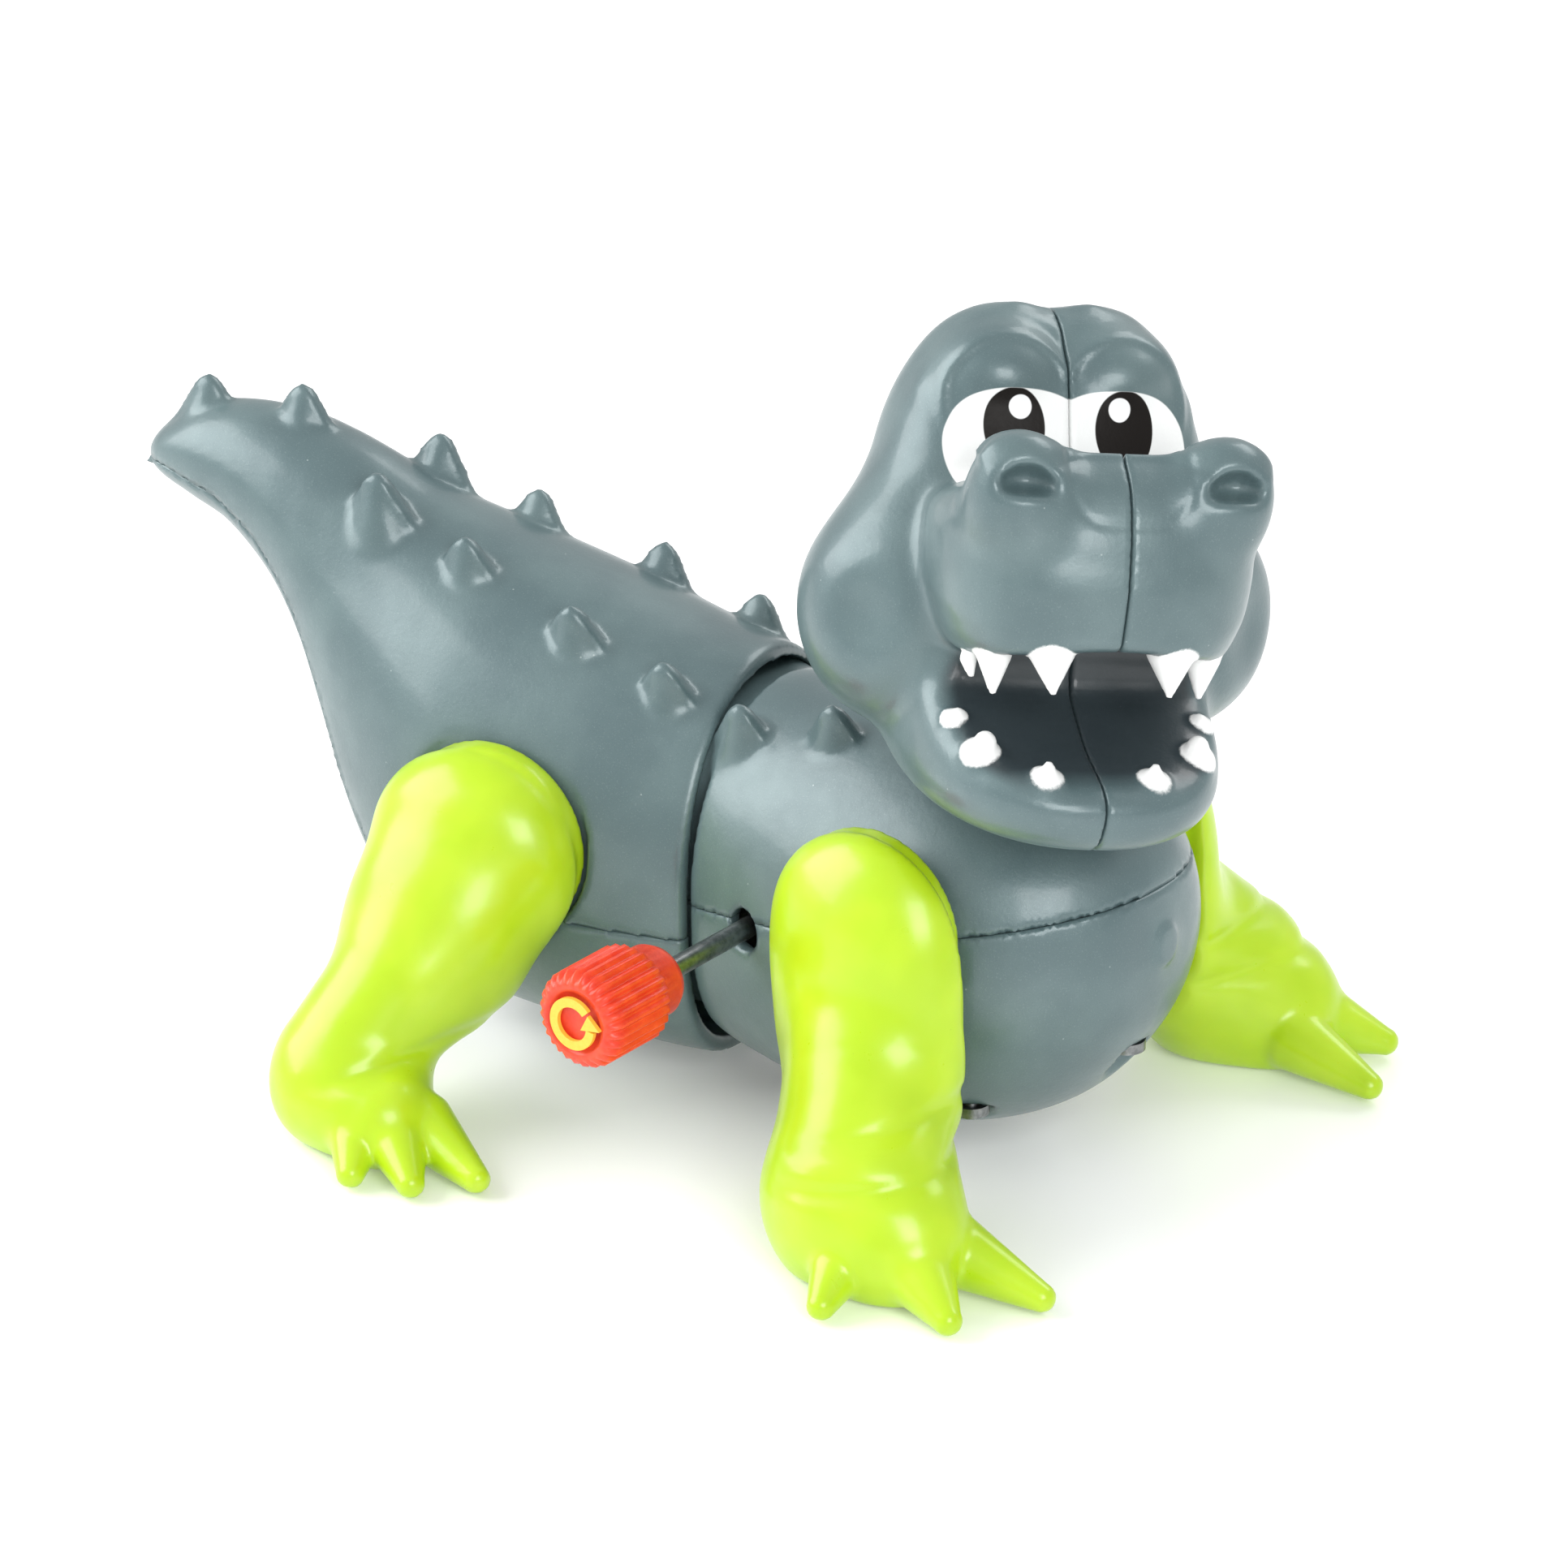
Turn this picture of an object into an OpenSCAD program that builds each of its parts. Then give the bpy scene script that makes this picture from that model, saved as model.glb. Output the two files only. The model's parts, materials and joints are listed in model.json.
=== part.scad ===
// Wind-up walking crocodile: a two-part hollow plastic body that bends at the waist,
// a head that turns on its neck, four swinging legs and a spring motor with a side knob.
// +Z is up, +X runs towards the chest, +Y is the toy's left. The floor is Z = 0.

/* [Placing] */
// Waist pivot, forward of the middle of the whole toy
waist_x = -0.82; // [-2:0.05:6]
// Waist pivot, left of the middle of the whole toy
waist_y = 1.66; // [-4:0.05:4]
// Bend of the tail half at rest, degrees
tail_bend = 9; // [0:0.5:9]
// Turn of the head to its right at rest, degrees
head_turn = 39; // [0:1:45]
// Forward lean of the neck axis, degrees
neck_lean = 12; // [10:1:14]

/* [Shells] */
// Wall of the body shells
wall = 1.5; // [1.2:0.1:1.8]
// Wall of the head shells
head_wall = 2; // [1.6:0.1:2.4]
// Height of the seam between upper and lower front shells at the winding shaft
seam_z = 21.2; // [20.5:0.1:21.5]
// Upward slope of that seam, degrees
seam_slope = 11.5; // [10:0.5:12]
// Height of a back spike
spike_h = 5.2; // [4:0.1:6]

/* [Legs] */
// Radius of the front shoulder disc
shoulder_r = 8.4; // [8:0.1:8.8]
// Radius of the rear hip disc
hip_r = 8.8; // [8.6:0.1:9.4]
// Distance of the flat leg faces from the middle plane
leg_face_y = 15.2; // [15:0.1:15.4]
// Radius of the peg that each leg swings on
peg_r = 2.4; // [2.2:0.1:2.6]

/* [Motor] */
// Radius of the winding shaft
shaft_r = 0.9; // [0.8:0.05:1]
// Module of the gear teeth
gear_module = 0.4; // [0.4:0.01:0.4]
// Radius of the winding knob over its ribs
knob_r = 4.35; // [4:0.05:4.6]
// Length of the ribbed part of the knob
knob_len = 8; // [7:0.5:9]
// Number of ribs on the knob
knob_ribs = 28; // [24:1:30]

/* [Hidden] */

body_grey = [0.42, 0.49, 0.52];
leg_green = [0.66, 0.87, 0.10];
knob_red = [0.88, 0.16, 0.08];
case_white = [0.90, 0.90, 0.86];
brass_gold = [0.80, 0.64, 0.30];
steel_grey = [0.62, 0.63, 0.65];

clear = 0.08;          // running clearance of a peg, pin or arbor in its hole
gap = 0.35;            // gap between shapes that pass each other
ring_points = 22;      // points around one body section
back_roundness = 2.25; // squareness of the upper half of a section is at most this
pivot_x = -5;          // waist pivot behind the zero of the body sections
leg_sphere_fn = 14;
head_sphere_fn = 16;

// Body sections: [x, half width, bottom, top, squareness]
front_sections = [
  [-9, 9, 8.4, 33.4, 3.2], [-4, 11.2, 6.8, 35.2, 2.8], [2.2, 11.9, 5.6, 35.8, 2.7], [2.6, 13.1, 4.4, 36.8, 2.8],
  [8, 14.8, 3.3, 37.3, 2.6], [14, 16.3, 2.8, 38, 2.5], [20, 17.1, 2.7, 38.3, 2.4], [26, 17.1, 3.2, 38, 2.3],
  [31, 16, 4.6, 37, 2.2], [35.5, 13.6, 7.2, 35.1, 2.1], [39, 10.4, 11, 32.6, 2],
  [41.4, 6.8, 15, 29.6, 2], [42.7, 2.4, 20, 25.4, 2]
];
rear_sections = [
  [0, 14.9, 1.9, 37.9, 2.8], [-4, 15.6, 1.7, 38.6, 2.7], [-9, 16.4, 1.7, 39.9, 2.5], [-16, 16.9, 1.9, 41.8, 2.4],
  [-23, 16.4, 2.4, 43.6, 2.3], [-28.5, 15, 3.8, 45.1, 2.2], [-33, 13.2, 7, 46.4, 2.1], [-36.6, 11.4, 12.4, 47.9, 2.1],
  [-39.6, 9.8, 20, 49.2, 2.1], [-42.8, 8.4, 28.4, 50.3, 2], [-46.6, 7.1, 35, 51.2, 2], [-51.5, 5.9, 39.8, 51.4, 2],
  [-56, 4.9, 41.8, 50.6, 2], [-59.5, 3.6, 43.2, 48.6, 2], [-61.8, 1.6, 44.4, 46.6, 2]
];
// Seam of the rear shells, seen from the side: level at the front, then up under the tail
rear_seam = [
  [6, 16.5], [-33, 16.5], [-36.5, 22], [-39.5, 30], [-43, 36.5], [-47.5, 41.6],
  [-52.5, 44.4], [-58, 45.5], [-66, 45.6], [-66, -5], [6, -5]
];
// Back spikes: [x, y, height of the tip]
front_spikes = [[4.4, 7.2, 38], [13.6, 6.4, 40]];
rear_spikes = [[-5.1, 7.4, 39.8], [-14.4, 7, 43], [-26, 5.4, 46.4], [-35.4, 4.6, 50.2]];
tail_spikes = [[-46.2, 54.6], [-56, 53.8]];

shoulder_x = 24.4;
shoulder_z = 25.4;
hip_x = -17.8;
hip_z = 23;
shoulder_at = [shoulder_x, shoulder_z];
hip_at = [hip_x, hip_z];
disc_t = 2.3;          // flat disc of a leg, turning in its pocket
pin_r = 1.5;           // waist pin
pin_z = 3.4;
pin_len = 33.4;
peg_len = 3.2;         // peg from the leg's flat face to its washer
washer_t = 0.6;
screw_head_t = 0.9;

neck_base = [25, 0, 36];
neck_axis = [sin(neck_lean), 0, cos(neck_lean)];

// Motor: arbor places seen from the right side, [x, z]
winding_at = [10, 20.4];
output_at = [24, 14.5];
great_teeth = 36;
centre_pinion_teeth = 10;
centre_wheel_teeth = 32;
output_teeth = 12;
escape_pinion_teeth = 8;
escape_teeth = 12;
great_reach = gear_module * (great_teeth + centre_pinion_teeth) / 2;
output_reach = gear_module * (centre_wheel_teeth + output_teeth) / 2;
escape_reach = gear_module * (centre_wheel_teeth + escape_pinion_teeth) / 2;
escape_angle = 24;
function circle_crossing(a, ra, b, rb) =
  let (d = norm(b - a), u = (b - a) / d, t = (ra * ra - rb * rb + d * d) / (2 * d), h = sqrt(ra * ra - t * t))
  a + t * u + h * [-u[1], u[0]];
centre_at = circle_crossing(winding_at, great_reach, output_at, output_reach);
escape_at = centre_at + escape_reach * [cos(escape_angle), sin(escape_angle)];
pallet_at = escape_at + [3.4, 2.9];
function heading(a, b) = atan2(b[1] - a[1], b[0] - a[0]);
// Angle of a tooth on a gear that meshes, along a line of centres, with a tooth of its driver
function mesh_phase(line, phase, n_driver, n) = line + 180 + 180 / n + (line - phase) * n_driver / n;
great_phase = heading(winding_at, centre_at);
centre_pinion_phase = mesh_phase(great_phase, great_phase, great_teeth, centre_pinion_teeth);
centre_wheel_phase = heading(centre_at, output_at);
output_phase = mesh_phase(centre_wheel_phase, centre_wheel_phase, centre_wheel_teeth, output_teeth);
escape_phase = mesh_phase(escape_angle, centre_wheel_phase, centre_wheel_teeth, escape_pinion_teeth);

case_box = [[1.2, 10], [33, 31]];   // motor case seen from the side, [x, z] corners
case_half = 7.2;                    // half width of the motor case
case_wall = 1;
arbor_r = 0.6;
crank_throw = 1.5;
belly_screw_at = [[30.5, 10.5], [30.5, -10.5], [39, 0]];
rear_screw_at = [[-27, 5], [-27, -5]];

// ---- Frames of the moving halves ----

module front() translate([waist_x - pivot_x, waist_y, 0]) children();

module rear() translate([waist_x, waist_y, 0]) rotate([0, 0, tail_bend]) translate([-pivot_x, 0, 0]) children();

module head() front() translate(neck_base) rotate(a = -head_turn, v = neck_axis) translate(-neck_base) children();

// Turns a shape so that its own Z axis points to the toy's right, with X kept and Y up
module sideways(at, y) translate([at[0], y, at[1]]) rotate([90, 0, 0]) children();

module left_copy() mirror([0, 1, 0]) children();

// ---- Lofted body shapes ----

function super_ring(s) = [
  for (i = [0:ring_points - 1])
    let (a = 360 * i / ring_points, c = cos(a), z = sin(a), p = 2 / (z > 0 ? min(s[4], back_roundness) : s[4]))
    [s[0], s[1] * sign(c) * pow(abs(c), p), (s[2] + s[3]) / 2 + (s[3] - s[2]) / 2 * sign(z) * pow(abs(z), p)]
];
// Four-point curve through the middle two values
function curve_value(a, b, c, d, t) =
  b + (c - a) * t / 2 + (2 * a - 5 * b + 4 * c - d) * t * t / 2 + (3 * b - a - 3 * c + d) * t * t * t / 2;
function curve_section(list, i, t) =
  let (n = len(list) - 1, a = list[max(i - 1, 0)], b = list[i], c = list[min(i + 1, n)], d = list[min(i + 2, n)])
  [for (k = [0:4]) curve_value(a[k], b[k], c[k], d[k], t)];
// Sections of the hollow inside a wall; an open first end runs out through the rim
function thinned(list, w, open = false) = [
  for (i = [0:len(list) - 1])
    let (s = list[i], way = sign(list[1][0] - list[0][0]), first = open ? -way : way * w,
      end = i == 0 ? first : i == len(list) - 1 ? -way * w : 0)
    [s[0] + end, max(s[1] - w, 0.5), min(s[2] + w, (s[2] + s[3]) / 2 - 0.5), max(s[3] - w, (s[2] + s[3]) / 2 + 0.5), s[4]]
];
function halved(list, steps) = [
  for (i = [0:len(list) - 2], k = [0:steps - 1]) curve_section(list, i, k / steps),
  list[len(list) - 1]
];

module skin(sections) {
  rings = len(sections);
  points = [for (s = sections) each super_ring(s)];
  forward = sections[1][0] > sections[0][0];
  sides = [
    for (r = [0:rings - 2], i = [0:ring_points - 1])
      let (j = (i + 1) % ring_points, a = r * ring_points, b = a + ring_points)
      forward ? [a + i, b + i, b + j, a + j] : [a + j, b + j, b + i, a + i]
  ];
  first_cap = [for (i = [0:ring_points - 1]) forward ? i : ring_points - 1 - i];
  last_cap = [for (i = [0:ring_points - 1]) (rings - 1) * ring_points + (forward ? ring_points - 1 - i : i)];
  polyhedron(points, concat([first_cap], sides, [last_cap]), convexity = 6);
}

// One rounded spike with a lens-shaped foot, its tip at the given place
module spike(x, y, tip_z) translate([x, y, tip_z - spike_h]) rotate([-y * 2.2, 0, 0]) {
  hull() {
    translate([0, 0, spike_h - 0.9]) sphere(0.8, $fn = 8);
    translate([0, 0, -0.6]) scale([1, 0.78, 0.5]) sphere(3.1, $fn = 12);
  }
  hull() {
    translate([0, 0, 1.6]) sphere(1.5, $fn = 8);
    translate([2.9, 0, -0.5]) sphere(0.7, $fn = 6);
    translate([-2.9, 0, -0.5]) sphere(0.7, $fn = 6);
  }
}

module screw(length, r, head_r, head_t) {
  cylinder(r = r, h = length, $fn = 32);
  difference() {
    translate([0, 0, -head_t]) cylinder(r = head_r, h = head_t, $fn = 32);
    for (a = [0, 90])
      rotate(a) translate([-head_r * 0.6, -0.2, -head_t - 1]) cube([head_r * 1.2, 0.4, 1.4]);
  }
}

module washer(r) difference() {
  cylinder(r = r, h = washer_t, $fn = 48);
  translate([0, 0, -1]) cylinder(r = 1, h = 3, $fn = 32);
}

// ---- Front half ----

module front_solid(w) {
  skin(w == 0 ? halved(front_sections, 2) : thinned(front_sections, w));
  translate([pivot_x, 0, 0]) rotate_extrude($fn = 40) polygon([
    [0, 7 + w], [6.5, 7 + w], [9.8 - w / 2, 9.5 + w], [11.7 - w, 15], [11.7 - w, 27],
    [9.8 - w / 2, 32.5 - w], [6.5, 35 - w], [0, 35 - w]
  ]);
}

// Everything above the seam of the front shells
module above_seam() translate([winding_at[0], 0, seam_z]) rotate([0, -seam_slope, 0])
  translate([-60, -40, 0]) cube([120, 80, 60]);

module shoulder_pockets() for (side = [-1, 1]) {
  translate([shoulder_x, side * (leg_face_y + 10), shoulder_z]) rotate([90, 0, 0])
    cylinder(r = shoulder_r + gap, h = 20, center = true, $fn = 44);
  translate([shoulder_x, side * leg_face_y, shoulder_z]) rotate([90, 0, 0])
    cylinder(r = peg_r + clear + 0.02, h = 12, center = true, $fn = 48);
  translate([output_at[0], side * leg_face_y, output_at[1]]) rotate([90, 0, 0])
    cylinder(r = 1.6, h = 12, center = true, $fn = 32);
}

// Flat floors of the shoulder pockets, as thick as the wall
module pocket_floor(at, r) for (side = [-1, 1])
  translate([at[0], side * (leg_face_y - 0.2 - wall / 2), at[1]]) rotate([90, 0, 0])
    cylinder(r = r, h = wall, center = true, $fn = 44);

module front_hollow() difference() {
  union() {
    difference() {
      front_solid(0);
      front_solid(wall);
    }
    intersection() {
      front_solid(0.4);
      pocket_floor(shoulder_at, shoulder_r + gap + wall);
    }
    intersection() {
      front_solid(0.4);
      belly_bosses();
    }
  }
  shoulder_pockets();
  belly_screw_holes();
  sideways(winding_at, 0) cylinder(r = 1.75, h = 30, $fn = 32);
  translate([pivot_x, 0, 0]) cylinder(r = pin_r + clear + 0.02, h = 60, $fn = 40);
}

module belly_bosses() for (p = belly_screw_at)
  translate([p[0], p[1], 0]) cylinder(r = 2.6, h = 40, $fn = 20);

module belly_screw_holes() for (p = belly_screw_at) translate([p[0], p[1], 0]) {
  cylinder(r = 1.9, h = belly_seat(p), $fn = 28);
  cylinder(r = 0.85, h = belly_seat(p) + 12, $fn = 24);
}

// Height where a belly screw's head sits
function belly_seat(p) = p[0] > 35 ? 13 : 8.6;

module front_shell_upper() color(body_grey) front() {
  difference() {
    intersection() {
      front_hollow();
      above_seam();
    }
    translate(neck_base) rotate([0, neck_lean, 0]) translate([0, 0, -6]) cylinder(r = 3.1, h = 20, $fn = 40);
  }
  difference() {
    for (s = front_spikes, side = [-1, 1]) spike(s[0], side * s[1], s[2]);
    front_solid(wall / 2);
  }
}

module front_shell_lower() color(body_grey) front() difference() {
  front_hollow();
  above_seam();
}

module belly_screws() color(steel_grey) front()
  for (p = belly_screw_at) translate([p[0], p[1], belly_seat(p)]) screw(9, 0.8, 1.6, screw_head_t);

module neck_frame() front() translate(neck_base) rotate([0, neck_lean, 0]) children();

// Post that the head turns on: a flange inside the shell, a collar outside it and a stub for the washer
module neck_post() color(body_grey) neck_frame() difference() {
  union() {
    translate([0, 0, -4]) cylinder(r = 3, h = 12.5, $fn = 48);
    translate([0, 0, 2.9]) cylinder(r = 4.6, h = 1.2, $fn = 48);
  }
  translate([0, 0, 1.5]) cylinder(r = 0.75, h = 9, $fn = 32);
}

module neck_washer() color(steel_grey) neck_frame() translate([0, 0, 8.5]) washer(4.2);

module neck_screw() color(steel_grey) neck_frame() translate([0, 0, 8.5 + washer_t]) rotate([180, 0, 0])
  screw(6.5, 0.75, 1.7, screw_head_t);

// ---- Spring motor ----

function gear_points(n, phase) =
  let (r = gear_module * n / 2, root = r - 0.45, tip = r + 0.3, step = 360 / n)
  [for (i = [0:n - 1], k = [[root, -0.27], [tip, -0.1], [tip, 0.1], [root, 0.27]])
    let (a = phase + step * (i + k[1])) k[0] * [cos(a), sin(a)]];

module gear(n, phase, t, bore) linear_extrude(t) difference() {
  polygon(gear_points(n, phase));
  circle(bore, $fn = 32);
}

module case_half_shape() {
  size_x = case_box[1][0] - case_box[0][0];
  size_z = case_box[1][1] - case_box[0][1];
  difference() {
    translate([case_box[0][0], 0, case_box[0][1]]) cube([size_x, case_half, size_z]);
    translate([case_box[0][0] + case_wall, -1, case_box[0][1] + case_wall])
      cube([size_x - 2 * case_wall, case_half + 1 - case_wall, size_z - 2 * case_wall]);
    for (p = [winding_at, output_at])
      translate([p[0], 0, p[1]]) rotate([-90, 0, 0]) cylinder(r = shaft_r + 0.05, h = 20, $fn = 32);
    for (p = [centre_at, escape_at, pallet_at])
      translate([p[0], 0, p[1]]) rotate([-90, 0, 0]) cylinder(r = arbor_r + 0.05, h = 20, $fn = 32);
    for (p = rivet_at)
      translate([p[0], 0, p[1]]) rotate([-90, 0, 0]) cylinder(r = 0.6, h = 20, $fn = 24);
  }
  for (p = rivet_at) translate([p[0], 0, p[1]]) rotate([-90, 0, 0]) difference() {
    cylinder(r = 1.3, h = case_half - 0.5, $fn = 32);
    translate([0, 0, -1]) cylinder(r = 0.6, h = 20, $fn = 24);
  }
}
rivet_at = [[3.8, 12.4], [3.8, 28.6], [18, 12.2], [12.8, 29.4]];

module motor_case_left() color(case_white) front() case_half_shape();
module motor_case_right() color(case_white) front() left_copy() case_half_shape();

module motor_rivets() color(steel_grey) front() for (p = rivet_at) sideways(p, case_half + 0.4) {
  translate([0, 0, 0.4]) cylinder(r = 0.6, h = 2 * case_half, $fn = 24);
  cylinder(r = 1.1, h = 0.4, $fn = 24);
  translate([0, 0, 2 * case_half + 0.4]) cylinder(r = 1.1, h = 0.4, $fn = 24);
}

// Coiled strip, clear of its arbor, with its outer end at the lower rear rivet post
module mainspring() color(steel_grey) front() sideways(winding_at, 5.6) {
  turns = 6.6;
  steps = 158;
  strip = 0.22;
  inner = 1.5;
  pitch = 0.72;
  ends = [for (i = [0:steps]) let (a = 360 * turns * i / steps) [a, inner + pitch * a / 360]];
  linear_extrude(4.2) polygon(concat(
    [for (e = ends) e[1] * [cos(e[0]), sin(e[0])]],
    [for (i = [steps:-1:0]) (ends[i][1] + strip) * [cos(ends[i][0]), sin(ends[i][0])]]
  ));
}

module winding_shaft() color(steel_grey) front() sideways(winding_at, 6.9) cylinder(r = shaft_r, h = 35.9, $fn = 32);

module great_wheel() color(brass_gold) front() sideways(winding_at, 0.6) gear(great_teeth, great_phase, 1.2, shaft_r);

// Ribbed knob with a domed collar towards the body and a chamfered outer end
module winding_knob() color(knob_red) front() sideways(winding_at, -26.4) difference() {
  union() {
    rotate_extrude($fn = 48) polygon([[0, 0], [1.9, 0], [2.8, 0.5], [3.2, 1.3], [3.2, 3.6], [0, 3.6]]);
    translate([0, 0, 3.4]) intersection() {
      linear_extrude(knob_len) union() {
        circle(knob_r - 0.35, $fn = 44);
        for (i = [0:knob_ribs - 1]) rotate(360 * i / knob_ribs) translate([knob_r - 0.35, 0]) circle(0.33, $fn = 16);
      }
      rotate_extrude($fn = 48)
        polygon([[0, 0], [knob_r - 0.7, 0], [knob_r, 0.7], [knob_r, knob_len - 0.9], [knob_r - 0.9, knob_len], [0, knob_len]]);
    }
  }
  translate([0, 0, -1]) cylinder(r = shaft_r, h = 3.6, $fn = 32);
}

// Raised boss on the knob's end with a plain curved winding arrow
module knob_mark() color([0.95, 0.82, 0.25]) front() sideways(winding_at, -26.4 - 3.4 - knob_len) linear_extrude(0.4) {
  difference() {
    circle(2.3, $fn = 48);
    circle(1.5, $fn = 48);
    polygon([[0, 0], [4, -0.4], [4, 3.6]]);
  }
  translate([1.9, -0.1]) rotate(10) polygon([[-1, 0], [1, 0], [0, 1.3]]);
}

module centre_arbor() color(steel_grey) front() sideways(centre_at, 6.9) cylinder(r = arbor_r, h = 13.8, $fn = 24);

module centre_gear() color(brass_gold) front() {
  sideways(centre_at, 0.9) gear(centre_pinion_teeth, centre_pinion_phase, 3.6, arbor_r);
  sideways(centre_at, -2.6) gear(centre_wheel_teeth, centre_wheel_phase, 0.9, arbor_r);
}

module output_shaft() color(steel_grey) front() sideways(output_at, 18.6) cylinder(r = shaft_r, h = 37.2, $fn = 32);

module output_pinion() color(brass_gold) front() sideways(output_at, -2.4) gear(output_teeth, output_phase, 1.3, shaft_r);

// Small crank on the end of the output shaft, with its pin up or down
module crank(way) {
  difference() {
    hull() {
      cylinder(r = 1.9, h = 1.2, $fn = 32);
      translate([0, way * crank_throw, 0]) cylinder(r = 1, h = 1.2, $fn = 32);
    }
    translate([0, 0, -0.1]) cylinder(r = shaft_r, h = 1.3, $fn = 32);
  }
  translate([0, way * crank_throw, 1.2]) cylinder(r = 0.6, h = 1.3, $fn = 24);
}

module crank_right() color(case_white) front() sideways(output_at, -17.4) crank(1);
module crank_left() color(case_white) front() left_copy() sideways(output_at, -17.4) crank(-1);

module escape_arbor() color(steel_grey) front() sideways(escape_at, 6.9) cylinder(r = arbor_r, h = 13.8, $fn = 24);

module escape_wheel() color(brass_gold) front() {
  sideways(escape_at, -2.4) gear(escape_pinion_teeth, escape_phase, 2.4, arbor_r);
  sideways(escape_at, -4.8) linear_extrude(0.8) difference() {
    polygon([for (i = [0:escape_teeth - 1], k = [[2.5, 0], [3.2, 0.35], [2.5, 0.5]])
      let (a = 360 / escape_teeth * (i + k[1])) k[0] * [cos(a), sin(a)]]);
    circle(arbor_r, $fn = 24);
  }
}

module pallet_arbor() color(steel_grey) front() sideways(pallet_at, 6.9) cylinder(r = arbor_r, h = 13.8, $fn = 24);

// Rocking anchor that the escape wheel knocks to and fro
module pallet() color(brass_gold) front() sideways(pallet_at, -4.6) linear_extrude(1.2) difference() {
  union() {
    circle(1.1, $fn = 32);
    for (spread = [-55, 55])
      rotate(heading(pallet_at, escape_at) + spread) translate([0, -0.3]) square([1.9, 0.6]);
  }
  circle(arbor_r, $fn = 24);
}

// ---- Legs ----

module ball(p, r, squash = 1) translate(p) scale([1, squash, 1]) sphere(r, $fn = leg_sphere_fn);

// Flat disc that turns in a body pocket, and the peg behind it
module leg_disc(at, r, thick) translate([at[0], -leg_face_y - gap / 2, at[1]]) rotate([90, 0, 0]) {
  cylinder(r = r, h = thick, $fn = 44);
  translate([0, 0, -peg_len]) cylinder(r = peg_r, h = peg_len + 1, $fn = 48);
}

// Removes what lies below the floor, the screw hole in the peg and the crank's recess
module leg_cuts(at, recess) {
  translate([-60, -60, -10]) cube([120, 120, 10]);
  translate([at[0], -leg_face_y + peg_len + 1, at[1]]) rotate([90, 0, 0]) cylinder(r = 0.75, h = 8, $fn = 32);
  if (recess)
    sideways(output_at, -leg_face_y + 1) cylinder(r = 4.4, h = 6.4, $fn = 48);
}

module toe(root, tip) hull() {
  ball(root, 3.1);
  ball(tip, 1.15);
}

module front_leg() difference() {
  union() {
    leg_disc(shoulder_at, shoulder_r, disc_t);
    hull() {
      translate([shoulder_x, -leg_face_y - disc_t, shoulder_z]) rotate([90, 0, 0])
        cylinder(r1 = shoulder_r, r2 = shoulder_r - 3, h = 4.9, $fn = 30);
      ball([25.4, -22, 16], 7.9, 0.56);
    }
    hull() {
      ball([25.4, -22, 16], 7.9, 0.56);
      ball([28.2, -24.6, 8.2], 6.4, 0.85);
    }
    hull() {
      ball([28.2, -24.6, 8.2], 6.4, 0.85);
      ball([29.5, -28.2, 3.4], 4.8);
      ball([38, -27, 2.4], 4.6);
    }
    toe([34.5, -31, 2.4], [37, -37.2, 1.1]);
    toe([38.5, -29.2, 2.6], [45.6, -32, 1.1]);
    toe([39.5, -25.6, 2.6], [48.6, -24.2, 1.1]);
  }
  leg_cuts(shoulder_at, true);
}

module rear_leg() difference() {
  union() {
    leg_disc(hip_at, hip_r, disc_t);
    hull() {
      translate([hip_x, -leg_face_y - disc_t, hip_z]) rotate([90, 0, 0])
        cylinder(r1 = hip_r, r2 = hip_r - 3.4, h = 5.3, $fn = 30);
      ball([-20, -23.6, 14.6], 7.6, 0.78);
    }
    hull() {
      ball([-20, -23.6, 14.6], 7.6, 0.78);
      ball([-24.6, -31, 6.4], 5.4);
    }
    hull() {
      ball([-24.6, -31, 6.4], 5.4);
      ball([-24.6, -33.4, 3.6], 4.8);
      ball([-17.4, -34.4, 2.6], 4.4);
    }
    toe([-17.6, -35.6, 2.4], [-16.2, -41.4, 1.1]);
    toe([-15.6, -35, 2.4], [-10, -40.6, 1.1]);
    toe([-14, -33.4, 2.4], [-5.8, -36.8, 1.1]);
  }
  leg_cuts(hip_at, false);
}

module leg_washer(at) sideways(at, -leg_face_y + peg_len - gap / 2 + washer_t) washer(3.6);

module leg_screw(at) sideways(at, -leg_face_y + peg_len - gap / 2 + washer_t) screw(6, 0.75, 1.7, screw_head_t);

module front_leg_right() color(leg_green) front() front_leg();
module shoulder_washer_right() color(steel_grey) front() leg_washer(shoulder_at);
module shoulder_screw_right() color(steel_grey) front() leg_screw(shoulder_at);
module front_leg_left() color(leg_green) front() left_copy() front_leg();
module shoulder_washer_left() color(steel_grey) front() left_copy() leg_washer(shoulder_at);
module shoulder_screw_left() color(steel_grey) front() left_copy() leg_screw(shoulder_at);
module rear_leg_right() color(leg_green) rear() rear_leg();
module hip_washer_right() color(steel_grey) rear() leg_washer(hip_at);
module hip_screw_right() color(steel_grey) rear() leg_screw(hip_at);
module rear_leg_left() color(leg_green) rear() left_copy() rear_leg();
module hip_washer_left() color(steel_grey) rear() left_copy() leg_washer(hip_at);
module hip_screw_left() color(steel_grey) rear() left_copy() leg_screw(hip_at);

// ---- Rear half ----

module rear_solid(w) skin(w == 0 ? halved(rear_sections, 2) : thinned(rear_sections, w, true));

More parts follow.
